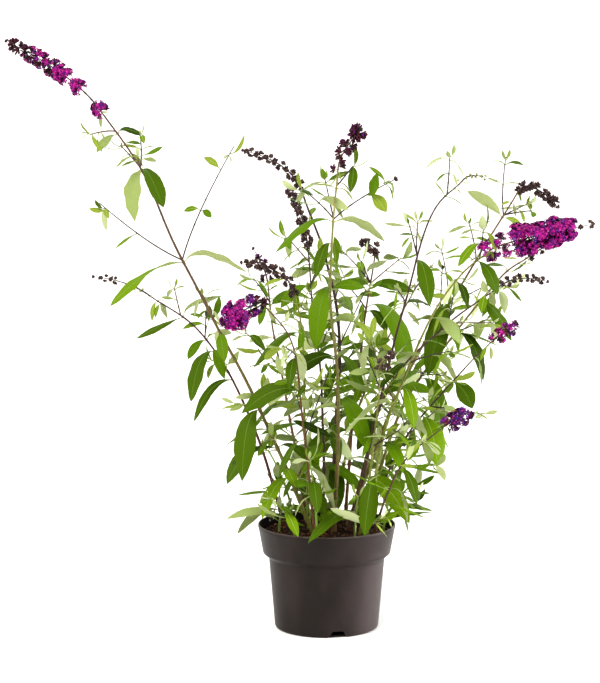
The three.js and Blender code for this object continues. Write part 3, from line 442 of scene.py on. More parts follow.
def growByRule(plant):
    draw = drawFor(plant, "rule")
    marks = [leaf[0] for leaf in plant["leaves"]]
    for index, share in enumerate(plant["joints"]):
        joint, along = placeOn(plant["stalk"], share)
        turn = plant["turns"][share] = plant["turn"] + 90 * index + draw(*rule["turnVary"])
        if not any(abs(mark - share) < rule["markReach"] for mark in marks):
            size = plant["leaf"] * leafShare(share) * plant["lesser"].get(share, 1.0)
            growPair(plant, (joint, along), turn, size, plant["radiusAt"](share), draw)
        if share < rule["shootFrom"] or "spike" not in plant:
            continue
        for hand in (1, -1):
            if draw(0, 1) > rule["shootChance"]:
                continue
            spread = draw(*rule["shootSpread"])
            length = draw(*rule["shootLength"]) * (rule["shorten"][0] - rule["shorten"][1] * share)
            heading = turned(along, pairDirection(along, turn) * hand, spread) + up * draw(*rule["rise"])
            tryShoot(plant, shootTo(joint, along, heading * length), draw(0, 90))
    share, part = rule["shootPair"]
    size, kind = plant["leaf"] * rule["shootLeaf"] * part, "bract" if plant["sparse"] else "leaf"
    for shoot in plant["grownShoots"]:
        place = placeOn(shoot["curve"], share, wideReach)
        growPair(plant, place, shoot["turn"] + 90 * share, size, rule["shootTwig"], draw, kind=kind)


# Finer growth, which the solids leave out: twiglets in the axils with small leaves, pairs between the
# joints, more pairs along the side shoots and a tuft at each shoot's end.
fineRule = {
    "clear": 0.2,
    "ownGirth": 0.5,  # how much of a fine leaf's thickness counts against the plant's own blades
    "ownFrom": 20,  # and its first bead that does
    "between": 0.8,  # size of the pairs between joints, against the joints' own
    "betweenUpTo": 0.66,
    "twiglet": (0.6, 0.42),  # chance in each axil at the foot, and how much of it is lost up to the neck
    "twigletLength": (9, 34),
    "twigletSpread": (30, 52),
    "twigletLeaf": (20, 44),
    "twigletPair": (18, 0.6, 0.05),  # length of a twiglet that has one more pair, its place, its reach
    "twigletTuft": 1.25,
    "shootShare": (0.5, 1.0),  # place and size of a side shoot's middle pair
    "sparseShare": (0.55, 0.6),
    "sparseTuft": 0.6,
    "addedTwig": 0.6, "shootTwig": 0.7, "tuftTwig": 0.5, "bractTwig": 1.0,  # radius of the twig at a leaf
    "footHeights": (22, 50, 82, 118),  # pairs low on the stems, in millimetres above the compost
    "footClear": 0.05,  # share of a stem kept free of them below its first joint
    "footChance": 0.85, "footLeaf": (54, 88),
    "tuft": (0.72, 0.34), "tuftSpread": (18, 42), "tuftRoll": (-30, 30),
    "bractVary": (0.85, 1.2),
}


def growTuft(plant, curve, size, turn, draw):
    joint, along = endOf(curve)
    for index, part in enumerate(fineRule["tuft"]):
        out = pairDirection(along, turn + 90 * index)
        for hand in (1, -1):
            way = turned(along, out * hand, draw(*fineRule["tuftSpread"]))
            reach = way * size * part * draw(*rule["vary"])
            leaf = leafTo(joint - along, along, reach, draw(*fineRule["tuftRoll"]), fineRule["tuftTwig"])
            tryLeaf(plant, leaf, "young", True)


def growTwiglet(plant, joint, along, out, draw):
    way = turned(along, out, draw(*fineRule["twigletSpread"]))
    length, size, turn = draw(*fineRule["twigletLength"]), draw(*fineRule["twigletLeaf"]), draw(0, 90)
    twiglet = tryShoot(plant, shootTo(joint, along, way * length), turn, "twiglet")
    if twiglet is None:
        return
    least, share, reach = fineRule["twigletPair"]
    if length > least:
        place = placeOn(twiglet["curve"], share, reach)
        growPair(plant, place, turn, size, fineRule["tuftTwig"], draw, True, "small")
    growTuft(plant, twiglet["curve"], size * fineRule["twigletTuft"], turn + 90, draw)


def growFine(plant):
    draw = drawFor(plant, "fine")
    stalk, turns, sparse = plant["stalk"], plant["turns"], plant["sparse"]
    first, last = plant["fine"]
    joints = [share for share in plant["joints"] if first <= share <= last]
    for limb, share, *reach, roll, broad in plant["added"]:
        curve = stalk if limb is None else plant["grownShoots"][limb]["curve"]
        leaf = leafTo(*placeOn(curve, share, wideReach), reach, roll, fineRule["addedTwig"])
        tryLeaf(plant, leaf, "marked", True, broad)
    size, kind = plant["leaf"] * rule["shootLeaf"], "bract" if sparse else "small"
    share, part = fineRule["sparseShare" if sparse else "shootShare"]
    for index, shoot in enumerate(plant["grownShoots"]):
        if index in plant["bareShoots"]:
            continue
        place = placeOn(shoot["curve"], share, wideReach)
        turn = shoot["turn"] + 270 * share
        growPair(plant, place, turn, size * part, fineRule["shootTwig"], draw, True, kind)
        growTuft(plant, shoot["curve"], size * (fineRule["sparseTuft"] if sparse else 1), shoot["turn"], draw)
    for share in joints:
        joint, along = placeOn(stalk, share)
        out = pairDirection(along, turns[share])
        for hand in (1, -1):
            if draw(0, 1) < fineRule["twiglet"][0] - fineRule["twiglet"][1] * share:
                growTwiglet(plant, joint, along, out * hand, draw)
    for height in fineRule["footHeights"] if "spike" in plant else ():
        share = height / stalk["length"]
        if share > plant["joints"][0] - fineRule["footClear"] or draw(0, 1) > fineRule["footChance"]:
            continue
        turn, size = draw(0, 180), draw(*fineRule["footLeaf"])
        growPair(plant, placeOn(stalk, share), turn, size, plant["radiusAt"](share), draw, True, "foot")
        plant["between"].append(share)
    for low, high in zip(joints[:-1], joints[1:]):
        share = (low + high) / 2
        if share > fineRule["betweenUpTo"]:
            continue
        size = plant["leaf"] * leafShare(share) * fineRule["between"]
        turn = (turns[low] + turns[high]) / 2 + 45
        growPair(plant, placeOn(stalk, share), turn, size, plant["radiusAt"](share), draw, True)
        plant["between"].append(share)
    if "spike" not in plant:
        growTuft(plant, stalk, plant["leaf"] * plant["tuft"], plant["turn"], draw)
        return
    for index, (share, size) in enumerate(plant["bracts"]):
        turn, size = plant["turn"] + 90 * index, size * draw(*fineRule["bractVary"])
        growPair(plant, placeOn(stalk, share), turn, size, fineRule["bractTwig"], draw, True, "bract")


def growPlants():
    plants = []
    for index, plan in enumerate(stems + lowShoots):
        plant = {**plainPlant, **plan, "index": index, "turns": {},
                 "grownLeaves": [], "grownShoots": [], "between": []}
        foot = np.array([*plan["foot"], rule["footLevel"]])
        if "spike" in plan:
            neck, spike = np.array(plan["neck"], float), plan["spike"]
            plant["stalk"] = through([foot, *plan["via"], neck])
            heading, tip = headingAt(plant["stalk"], 1.0), np.array(plan["tip"], float)
            plant["axis"] = bend(neck, heading, tip, rule["spikeArch"][spike])
            plant["radiusAt"] = lambda share, girth=plan["girth"]: girth * (1 - rule["taper"] * share)
            line = pointsAt(plant["stalk"], np.linspace(0, 1, 17))
            addCapsules(index, line, plant["radiusAt"]((np.arange(16) + 0.5) / 16))
            line = pointsAt(plant["axis"], np.linspace(rule["spikeFrom"], 1, 6))
            addCapsules(index, line, plan["spikeRadius"] * rule["spikeBulk"][spike])
        else:
            plant["joints"] = rule["lowJoints"]
            plant["stalk"] = bend(foot, up, foot + np.array(plan["reach"], float), rule["lift"])
            plant["radiusAt"] = lambda share: rule["lowGirth"] * (1 - rule["lowTaper"] * share)
            addCapsules(index, pointsAt(plant["stalk"], np.linspace(0, 1, 6)), rule["lowGirth"])
        plants.append(plant)
    for plant in plants:
        growMarked(plant)
    for plant in plants:
        growByRule(plant)
    coarse = sum(len(plant["grownLeaves"]) for plant in plants)
    for plant in plants:
        growFine(plant)
    leaves, shoots = [sum(len(plant[key]) for plant in plants) for key in ("grownLeaves", "grownShoots")]
    print("grown:", coarse, "leaves by the solids' rule,", leaves, "in all,", shoots, "shoots,",
          room["count"], "capsules")
    return plants


def linear(hexColour):
    parts = [int(hexColour[i : i + 2], 16) / 255 for i in (1, 3, 5)]
    return [part / 12.92 if part <= 0.04045 else ((part + 0.055) / 1.055) ** 2.4 for part in parts] + [1]


# A node given as an input stands for its first output.
def addNode(material, kind, inputs=None, **settings):
    node = material.node_tree.nodes.new(kind)
    for name, value in settings.items():
        setattr(node, name, value)
    for name, value in (inputs or {}).items():
        if isinstance(value, bpy.types.Node):
            value = value.outputs[0]
        if isinstance(value, bpy.types.NodeSocket):
            material.node_tree.links.new(value, node.inputs[name])
        else:
            node.inputs[name].default_value = value
    return node


def newMaterial(name, colour, roughness, **sockets):
    material = bpy.data.materials.new(name)
    material.use_nodes = True
    material.diffuse_color = linear(colour)
    shader = material.node_tree.nodes["Principled BSDF"]
    for socket, value in {"Base_Color": linear(colour), "Roughness": roughness, **sockets}.items():
        shader.inputs[socket.replace("_", " ")].default_value = value
    return material


def newMaterials(make, name, tints, *values, **sockets):
    return [make("%s_%d" % (name, i), tint, *values, **sockets) for i, tint in enumerate(tints)]


def toShader(material, output, socket):
    shader = material.node_tree.nodes["Principled BSDF"]
    material.node_tree.links.new(output, shader.inputs[socket])


def addRelief(material, height, depth):
    bump = addNode(material, "ShaderNodeBump", {"Height": height, "Distance": depth * mm, "Strength": 1.0})
    toShader(material, bump.outputs["Normal"], "Normal")


def noiseOf(material, grain, stretch=(1, 1, 1), detail=3.0):
    place = addNode(material, "ShaderNodeTexCoord")
    mapping = addNode(material, "ShaderNodeMapping", {
        "Vector": place.outputs["Object"], "Scale": [1 / (grain * mm * part) for part in stretch]})
    return addNode(material, "ShaderNodeTexNoise", {"Vector": mapping, "Scale": 1.0, "Detail": detail})


def heightOf(material):
    place = addNode(material, "ShaderNodeTexCoord")
    return addNode(material, "ShaderNodeSeparateXYZ", {"Vector": place.outputs["Object"]}).outputs["Z"]


# One colour gives way to another as a value runs from low to high.
def fade(material, value, low, high, first, second):
    share = addNode(material, "ShaderNodeMapRange", {"Value": value, "From Min": low, "From Max": high})
    mix = addNode(material, "ShaderNodeMix", {"Factor": share, "A": first, "B": second}, data_type="RGBA")
    return mix.outputs["Result"]


# A grown leaf blade: side veins every few millimetres slant forward from the midrib and lie a little sunk.
veins = {"count": 15, "slant": 2.6, "round": 0.4, "depth": 0.42, "underDepth": 0.24,
         "felt": 0.9, "feltDepth": 0.14}


def leafMaterial(name, colour, roughness, depth, **sockets):
    material = newMaterial(name, colour, roughness, **sockets)
    blade = addNode(material, "ShaderNodeUVMap", uv_map="blade")
    parts = addNode(material, "ShaderNodeSeparateXYZ", {"Vector": blade})
    last, felt = parts.outputs["X"], noiseOf(material, veins["felt"])
    # None stands for the step before
    for operation, *values in (
        ("SUBTRACT", None, 0.5), ("ABSOLUTE", None), ("MULTIPLY_ADD", None, -veins["slant"] * 2, 0.0),
        ("MULTIPLY_ADD", parts.outputs["Y"], veins["count"], None), ("PINGPONG", None, 0.5),
        ("POWER", None, veins["round"]), ("MULTIPLY_ADD", felt, veins["feltDepth"], None),
    ):
        inputs = {slot: last if value is None else value for slot, value in enumerate(values)}
        last = addNode(material, "ShaderNodeMath", inputs, operation=operation)
    addRelief(material, last, depth)
    return material


leafPalette = (
    # Leaf blade, upper side: thin green skin with a soft satin light on it.
    newMaterials(leafMaterial, "leaf_upper", ["#324800", "#455F00", "#587802", "#678606", "#859836"],
                 0.5, veins["depth"], Specular_IOR_Level=0.1)
    # Underside: a pale felt of fine hairs, dull and slightly woolly at grazing light.
    + newMaterials(leafMaterial, "leaf_felt", ["#A9B57C", "#B9C492", "#8F9F60"],
                   0.9, veins["underDepth"], Specular_IOR_Level=0.2)
    # Midrib: a pale sunk line above, a raised cord below.
    + newMaterials(leafMaterial, "leaf_midrib", ["#5E7E1C", "#96AA54"], 0.6, veins["underDepth"])
)
firstUnder, firstRib = 5, 8


def twigMaterial(name, colour, roughness):
    material = newMaterial(name, colour, roughness)
    addRelief(material, noiseOf(material, 0.7, (1, 1, 5)), 0.15)
    return material


# Young wood: thin smooth rind, dark purplish brown, tan or green, with a fine lengthwise grain.
twigPalette = newMaterials(twigMaterial, "twig_rind", ["#382A2B", "#5E4632", "#86844A", "#78923C"], 0.6)
bloomPalette = (
    # Petals: thin, soft, slightly translucent at the edge; magenta to violet, an orange throat, dark tubes.
    newMaterials(newMaterial, "petal", ["#B00C92", "#980884", "#7A1086", "#C81EA6", "#591F86", "#431F74"],
                 0.6, Specular_IOR_Level=0.3)
    + [newMaterial("petal_throat", "#C8601C", 0.6), newMaterial("petal_tube_dark", "#561248", 0.6),
       newMaterial("petal_tube_wilted", "#30161C", 0.75), newMaterial("petal_wilted", "#5C1A34", 0.75)]
)
throat, tubeDark, tubeWilted, petalWilted = 6, 7, 8, 9
# Spent seed capsules: dry papery husks, brown with a purple cast; buds: green-grey, downy.
huskPalette = newMaterials(
    newMaterial, "seed_husk", ["#42292E", "#2C1D21", "#5C493E", "#7F8A52", "#9EA472"], 0.8)


# Stem bark: a thin fibrous rind in long streaks, greener or redder low down and browner above.
def barkMaterial(name, lowTint, highTint):
    material = newMaterial(name, highTint, 0.65)
    base = fade(material, heightOf(material), 0.16, 0.5, linear(lowTint), linear(highTint))
    streaks = noiseOf(material, 1.6, (1, 1, 7), 4.0)
    dark = addNode(material, "ShaderNodeMapRange", {
        "Value": streaks, "From Min": 0.4, "From Max": 0.7, "To Min": 0.62, "To Max": 1.15})
    tint = addNode(material, "ShaderNodeMix", {"Factor": 1.0, "A": base, "B": dark},
                   data_type="RGBA", blend_type="MULTIPLY")
    toShader(material, tint.outputs["Result"], "Base Color")
    addRelief(material, streaks, 0.25)
    return material


barkPalette = {name: barkMaterial("stem_bark_" + name, *tints) for name, tints in {
    "olive": ("#7E7E30", "#64492F"), "straw": ("#7A6430", "#94914E"), "red": ("#663828", "#40221E"),
    "green": ("#8E9A42", "#86823E"), "brown": ("#7C5830", "#5A3A2A"), "dark": ("#5E4430", "#432C27"),
}.items()}


# Many small things are heaped up as points and faces and become one mesh.
def newHeap():
    return {"points": [], "faces": [], "tints": [], "blade": [], "count": 0}


def put(heap, points, faces, tints, blade=None):
    base = heap["count"]
    heap["points"].append(points)
    heap["faces"].extend([tuple(base + corner for corner in face) for face in faces])
    heap["tints"].extend([tints] * len(faces) if isinstance(tints, int) else tints)
    heap["blade"].append(np.zeros((len(points), 2)) if blade is None else blade)
    heap["count"] = base + len(points)


def selectOnly(*objects):
    bpy.ops.object.select_all(action="DESELECT")
    for obj in objects:
        obj.select_set(True)
        bpy.context.view_layer.objects.active = obj


def setEdit(mode):
    bpy.ops.object.mode_set(mode=mode)


def finishPiece(obj, nodes, smoothDegrees, material=None):
    if material:
        obj.data.materials.clear()
        obj.data.materials.append(material)
    selectOnly(obj)
    bpy.ops.object.shade_smooth_by_angle(angle=math.radians(smoothDegrees))
    obj.select_set(False)
    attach(obj, "root")
    if nodes:
        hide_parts(*nodes)


def pieceFrom(heap, name, palette, nodes=(), smoothDegrees=50):
    if not heap["count"]:
        return
    used = sorted(set(heap["tints"]))
    mesh = bpy.data.meshes.new(name)
    mesh.from_pydata(np.vstack(heap["points"]) * mm, [], heap["faces"])
    for tint in used:
        mesh.materials.append(palette[tint])
    mesh.polygons.foreach_set("material_index", [used.index(tint) for tint in heap["tints"]])
    corners = np.zeros(len(mesh.loops), np.int32)
    mesh.loops.foreach_get("vertex_index", corners)
    mesh.uv_layers.new(name="blade").data.foreach_set("uv", np.vstack(heap["blade"])[corners].ravel())
    mesh.validate()
    obj = bpy.data.objects.new(name, mesh)
    bpy.context.scene.collection.objects.link(obj)
    finishPiece(obj, nodes, smoothDegrees)


leafMesh = {
    "stations": ((55, 17), (28, 11), (0, 7)),  # a blade longer than this has so many cross-sections
    "broad": 1.16,  # of the room that the rule leaves for a blade
    "bract": 0.82,
    "thickness": (0.36, 80),  # and the length from which a blade has all of it
    "stalk": (0.3, 130, 0.75),  # half width of the leaf stalk: least, millimetres of leaf for one more, most
    "stalkTaper": 0.75,
    "lean": (0.92, 1.16),  # under 1 the blade is widest below its middle
    "full": (0.72, 0.9),
    "teeth": 0.016,
    "rib": (0.4, 0.4),  # half width of the midrib's strip near the root, and its most of the blade's
    "ribDepth": (0.7, 0.8),  # near the root, and how much of it is lost up to the tip
    "ribSunk": 0.15,
    "quarter": 0.55,  # of the half width, where each half has a crease
    "petiole": (4.5, 0.16, 0.7),  # the leaf stalk's length, its most of the leaf's, and where it bends
    "firstCut": 0.03,
    "fold": (6, 24),  # degrees that each half is raised
    "curl": (0.04, 0.2),  # of the half width, at the margin
    "wave": (0.02, 0.09),
    "waves": 19, "skew": 1.2,
    "taper": 0.6,  # how much of its fold and midrib a blade loses up to its tip
    "twist": 22,
    "turnedChance": 0.16,  # of a blade that turns over along its length
    "turnedTwist": (70, 120),
}


def addLeaf(heap, leaf, upper, under, rib, draw):
    shape, length, quarter = leafMesh, leaf["length"], leafMesh["quarter"]
    count = next(stations for least, stations in shape["stations"] if length > least)
    petiole = min(shape["petiole"][0] / length, shape["petiole"][1])
    cuts = petiole + (1 - petiole) * np.linspace(shape["firstCut"], 1, count)
    shares = np.concatenate([[0, petiole * shape["petiole"][2]], cuts])
    blade = np.clip((shares - petiole) / (1 - petiole), 0, 1)
    twist = math.radians(draw(-shape["twist"], shape["twist"]))
    if leaf["kind"] == "marked":
        twist = math.radians(leaf["turning"])
    elif draw(0, 1) < shape["turnedChance"]:
        twist = math.radians(draw(*shape["turnedTwist"])) * (1 if draw(0, 1) < 0.5 else -1)
    even = np.linspace(0, 1, 41)
    run = curveOf(bladeFrames(leaf, even)[0])["run"]
    at, across, above = [part[:, None] for part in bladeFrames(leaf, np.interp(shares, run, even), twist)]
    lean, full = draw(*shape["lean"]), draw(*shape["full"])
    teeth = 1 + shape["teeth"] * np.where(np.arange(len(shares)) % 2 == 0, 1, -1)
    outline = np.abs(np.sin(np.pi * blade**lean)) ** full * teeth
    half = leaf["half"] * leaf["broad"] * shape["bract" if leaf["kind"] == "bract" else "broad"] * outline
    least, perOne, most = shape["stalk"]
    stalkHalf = min(most, least + length / perOne) * (1 - shape["stalkTaper"] * blade)
    half = np.maximum(np.nan_to_num(half), stalkHalf)
    ribWidest, ribMost = shape["rib"]
    ribHalf = np.minimum(ribWidest * (1 - shape["taper"] * blade), half * ribMost) / half
    fold = (math.tan(math.radians(draw(*shape["fold"]))) * (1 - shape["taper"] * blade))[:, None]
    curl, wave, phase = draw(*shape["curl"]), draw(*shape["wave"]), draw(0, 6.28)
    ones, half = np.ones(len(shares)), half[:, None]
    columns = np.stack([-ones, -quarter * ones, -ribHalf, ribHalf, quarter * ones, ones], axis=1)
    reach = np.abs(columns)
    ripple = wave * np.sin(blade[:, None] * shape["waves"] + phase + columns * shape["skew"]) * reach**2
    lift = (fold * reach - curl * reach**3 * 2 + ripple) * half
    rise = np.where(reach >= quarter, lift, fold * reach * half - shape["ribSunk"])
    top = at + across * (columns * half)[..., None] + above * rise[..., None]
    thickness, fullFrom = shape["thickness"]
    thick = thickness * (0.5 + min(length, fullFrom) / (2 * fullFrom))
    ribDepth, ribLoss = shape["ribDepth"]
    lowColumns = np.stack([-quarter * ones, 0 * ones, quarter * ones], axis=1)
    deep = np.stack([thick * ones, thick + ribDepth * (1 - ribLoss * blade), thick * ones], axis=1)
    lowRise = np.stack([rise[:, 1], 0.5 * (rise[:, 2] + rise[:, 3]), rise[:, 4]], axis=1) - deep
    low = at + across * (lowColumns * half)[..., None] + above * lowRise[..., None]
    faces, tints = [], []
    for a in range(0, (len(shares) - 1) * 9, 9):
        faces += [(a + j, a + j + 1, a + j + 10, a + j + 9) for j in range(5)]
        faces += [(a + i, a + 9 + i, a + 9 + j, a + j) for i, j in ((0, 6), (6, 7), (7, 8), (8, 5))]
        tints += [upper, upper, rib, upper, upper] + [under] * 4
    end = (len(shares) - 1) * 9
    faces += [(6, 7, 8, 5, 4, 3, 2, 1, 0), tuple(end + i for i in (0, 1, 2, 3, 4, 5, 8, 7, 6))]
    tints += [rib, upper]
    u = np.concatenate([(columns + 1) / 2, (lowColumns + 1) / 2], axis=1).reshape(-1)
    points = np.concatenate([top, low], axis=1).reshape(-1, 3)
    put(heap, points, faces, tints, np.stack([u, np.repeat(blade, 9)], axis=1))


# The upper tints are numbered from dark to light and given as (limit, tint). Small leaves are the paler ones.
leafTones = {
    "small": ((0.34, 4), (0.66, 3), (0.88, 2), (1, 1)),
    "large": ((0.12, 0), (0.48, 1), (0.82, 2), (1, 3)),
    "smallUpTo": 40,  # millimetres
    "under": (0.4, 0.6),  # chance of the first tint below, and of the second where it isn't the first
}


def leafTints(leaf, draw):
    small = leaf["kind"] in ("young", "small") or leaf["length"] < leafTones["smallUpTo"]
    upper = choose(draw(0, 1), leafTones["small" if small else "large"])
    first, second = leafTones["under"]
    under = 0 if draw(0, 1) < first else 1 if draw(0, 1) < second else 2
    # Leaves low at the foot always take the darkest felt: painted shade for the shadow under the canopy.
    if leaf["kind"] == "foot":
        under = 2
    return upper, firstUnder + under, firstRib + (1 if upper > 2 else 0)


def ringAround(centre, first, second, radius, angles):
    return centre + radius * (np.cos(angles)[:, None] * first + np.sin(angles)[:, None] * second)


def addTube(heap, line, radii, sides, tint):
    line = np.asarray(line, float)
    steps = np.diff(line, axis=0)
    tangents = unit(np.vstack([steps[:1], steps[1:] + steps[:-1], steps[-1:]]))
    normal = squareTo(east if abs(tangents[0][0]) < 0.9 else up, tangents[0])
    angles = 2 * np.pi * np.arange(sides) / sides
    rings = []
    for at, tangent, radius in zip(line, tangents, radii):
        normal = squareTo(normal, tangent)
        rings.append(ringAround(at, normal, np.cross(tangent, normal), radius, angles))
    last = (len(line) - 1) * sides
    faces = [(a + i, a + (i + 1) % sides, a + sides + (i + 1) % sides, a + sides + i)
             for a in range(0, last, sides) for i in range(sides)]
    faces += [tuple(range(sides - 1, -1, -1)), tuple(last + i for i in range(sides))]
    put(heap, np.vstack(rings), faces, tint)


twigMesh = {
    "step": 3.0, "sides": 7, "radii": (1.05, 0.62), "twigletRadii": (0.8, 0.45), "lowRadii": (2.0, 1.1),
    "knot": 0.35, "knotLength": 1.7, "knots": (0.3, 0.52, 0.72, 0.9), "axisRadii": (1.15, 0.4),
    "axisKnots": 11, "cymeStalk": 0.4, "sunk": 4,
    "shootTints": ((0.8, 0), (1, 1)), "twigletTints": ((0.6, 2), (1, 3)),
}


def addTwig(heap, curve, radii, tint, knots=()):
    steps = max(3, round(curve["length"] / twigMesh["step"]))
    shares = np.linspace(0, 1, steps + 1)
    places, swell = shares * curve["length"], np.zeros(steps + 1)
    for knot in knots:
        apart = (places - knot * curve["length"]) / twigMesh["knotLength"]
        swell = np.maximum(swell, np.exp(-(apart ** 2)))
    girth = (radii[0] + (radii[1] - radii[0]) * shares) * (1 + twigMesh["knot"] * swell)
    addTube(heap, pointsAt(curve, shares), girth, twigMesh["sides"], tint)


# Raises a surface by clouds, one layer after another: a name, a grain and a depth.
def roughen(obj, layers, octaves, middle, **settings):
    for label, grain, depth in layers:
        texture = bpy.data.textures.new(label, "CLOUDS")
        texture.noise_scale, texture.noise_depth = grain * mm, octaves
        displace = obj.modifiers.new(label, "DISPLACE")
        displace.texture, displace.strength, displace.mid_level = texture, depth * mm, middle
        for name, value in settings.items():
            setattr(displace, name, value)
    selectOnly(obj)
    for label, *_ in layers:
        bpy.ops.object.modifier_apply(modifier=label)
        bpy.data.textures.remove(bpy.data.textures[label])


barkShape = {
    "step": 2.5, "sunk": 5, "knotLength": 2.6, "knot": 0.34, "flare": 1.5, "flareLength": 9, "wander": 0.5,
    "waves": (23, 31), "ease": 30, "stretch": 7, "layers": (("ridge", 1.3, 0.42), ("fibre", 0.7, 0.2)),
    "footGirth": 1.1,  # below the compost
    "round": 3,  # steps in each quarter of a stem's section
}


# One stem from the compost to the neck: a bevelled curve made a mesh, with the rind's long ridges raised by
# two displacements stretched along it.
def makeStem(plant):
    stalk, length, shape = plant["stalk"], plant["stalk"]["length"], barkShape
    shares = np.linspace(0, 1, round(length / shape["step"]) + 1)
    places, line = shares * length, pointsAt(stalk, shares)
    draw = drawFor(plant, "bark")
    ease = np.clip(places / shape["ease"], 0, 1) * np.clip((length - places) / shape["ease"], 0, 1)
    for axis, wave in enumerate(shape["waves"]):
        line[:, axis] += shape["wander"] * ease * np.sin(places / wave + draw(0, 6.28))
    radii = plant["radiusAt"](shares)
    for share in plant["joints"] + plant["between"]:
        apart = (places - share * length) / shape["knotLength"]
        radii = radii * (1 + shape["knot"] * np.exp(-(apart ** 2)))
    radii = radii * (1 + (shape["flare"] - 1) * np.exp(-places / shape["flareLength"]))
    line = np.vstack([line[0] - up * shape["sunk"], line])
    radii = np.concatenate([[radii[0] * shape["footGirth"]], radii])
    selectOnly()
    bpy.ops.curve.primitive_nurbs_path_add(location=(0, 0, 0))
    obj = bpy.context.object
    obj.name = "stem_bark_" + plant["name"]
    curve = obj.data
    curve.splines.clear()
    spline = curve.splines.new("POLY")
    spline.points.add(len(line) - 1)
    spline.points.foreach_set("co", np.hstack([line * mm, np.ones((len(line), 1))]).ravel())
    spline.points.foreach_set("radius", radii / radii.max())
    curve.bevel_depth = float(radii.max()) * mm
    curve.bevel_resolution = shape["round"]
    curve.use_fill_caps = True
    bpy.ops.object.convert(target="MESH")
    obj = bpy.context.object
    setEdit("EDIT")
    bpy.ops.mesh.select_all(action="SELECT")
    bpy.ops.mesh.remove_doubles(threshold=0.01 * mm)  # welds the caps, so that the relief opens no seam
    bpy.ops.mesh.normals_make_consistent(inside=False)
    setEdit("OBJECT")
    bpy.ops.object.empty_add(location=(0, 0, 0))
    grainAxes = bpy.context.object
    grainAxes.scale = (1, 1, shape["stretch"])
    bpy.context.view_layer.update()
    roughen(obj, shape["layers"], 2, 0.5, texture_coords="OBJECT", texture_coords_object=grainAxes)
    bpy.data.objects.remove(grainAxes)
    obj.data.name = obj.name
    finishPiece(obj, ["stem_" + plant["name"]], 60, barkPalette[plant["bark"]])


floretShape = {
    "tube": (0.5, 0.85), "tubeEnd": 1.4, "wiltedGirth": 1.6, "well": 1.0, "mouth": 0.62, "throatFrom": 0.75,
    "spread": 3.3, "lobeAngle": 31, "lobeSide": 0.86, "lobeTip": 1.12, "recurve": 0.9, "lip": 0.1,
}
corners = np.arange(8) * np.pi / 4
quarters = corners[::2]


def axesOf(out, spin=0.0):
    first = squareTo(east if abs(out[0]) < 0.8 else up, out)
    if spin:
        first = turned(first, np.cross(out, first), spin)
    return first, np.cross(out, first)


# One flower: a slender tube that opens in four rounded lobes round an orange throat.
def addFloret(heap, root, face, openness, lobe, tube, spin):
    out, shape = unit(face - root), floretShape
    first, second = axesOf(out, spin)
    stout = shape["wiltedGirth"] if tube == tubeWilted else 1.0
    reach, angle = shape["spread"] * openness, shape["lobeAngle"]
    mouth = shape["mouth"] * (0.6 + 0.4 * openness)
    rings = [
        ringAround(root, first, second, shape["tube"][0] * stout, quarters),
        ringAround(face - out * shape["tubeEnd"], first, second, shape["tube"][1] * stout, quarters),
        (face - out * shape["well"])[None],
        ringAround(face, first, second, mouth, corners),
    ]
    lobes = ((-angle, "lobeSide", "lip"), (0, "lobeTip", "recurve"), (angle, "lobeSide", "lip"))
    notches = ringAround(face - out * shape["lip"], first, second, mouth * 1.25, quarters)
    for notch, quarter in zip(notches, quarters):
        rings.append([notch] + [
            turned(first, second, math.degrees(quarter) + 45 + turn) * reach * shape[wide]
            + face - out * shape[back] * openness
            for turn, wide, back in lobes])
    faces = [(i, (i + 1) % 4, 4 + (i + 1) % 4, 4 + i) for i in range(4)] + [(3, 2, 1, 0)]
    faces += [(8, 9 + i, 9 + (i + 1) % 8) for i in range(8)]
    for i in range(4):
        o, n = 17 + 4 * i, 17 + (4 * i + 4) % 16
        faces.append((9 + 2 * i, o, o + 1, o + 2, o + 3, n, 9 + (2 * i + 2) % 8, 9 + 2 * i + 1))
        faces.append((4 + i, 4 + (i + 1) % 4, n, o + 3, o + 2, o + 1, o))
    inner = throat if openness > shape["throatFrom"] else tube
    put(heap, np.vstack(rings), faces, [tube] * 5 + [inner] * 8 + [lobe] * 8)


# A pod, husk or bud: a slim body pointed at its end.
def addPod(heap, root, tip, radius, tint, spin):
    axes = axesOf(unit(tip - root), spin)
    low, high = [ringAround(root + (tip - root) * share, *axes, radius * girth, quarters)
                 for share, girth in ((0.3, 1), (0.72, 0.72))]
    faces = []
    for i in range(4):
        j = (i + 1) % 4
        faces += [(0, 1 + j, 1 + i), (1 + i, 1 + j, 5 + j, 5 + i), (5 + i, 5 + j, 9)]
    put(heap, np.vstack([root[None], low, high, tip[None]]), faces, tint)


# A cluster: flowers or husks fan out from the end of a short stalk. Tints are (limit, tint) for each state.
cymeShape = {
    "girth": 1.8, "girthVary": (0.75, 1.2), "bud": 0.95,
    "golden": 137.5, "tilt": (10, 88), "turn": (-14, 14), "long": (0.82, 1.08),
    "stalkFrom": 2.5, "core": (0.8, 0.12),  # flowers start this far out, or at this share of the radius
    "openness": {"wilted": (0.3, 0.5), "fading": (0.35, 0.55), "tubes": (0.5, 0.7), "open": (0.8, 1.05)},
    "fading": 0.5,  # share of a fading cluster's flowers that are over
    "tints": {
        "capsule": ((0.42, 0), (0.72, 1), (1, 2)), "bud": ((0.6, 3), (1, 4)),
        "open": ((0.34, 0), (0.6, 1), (0.8, 2), (0.9, 3), (1, 4)), "wilted": ((0.84, petalWilted), (1, 2)),
        "violet": ((0.2, 4), (0.32, 5), (0.72, 2), (1, petalWilted)),
    },
}


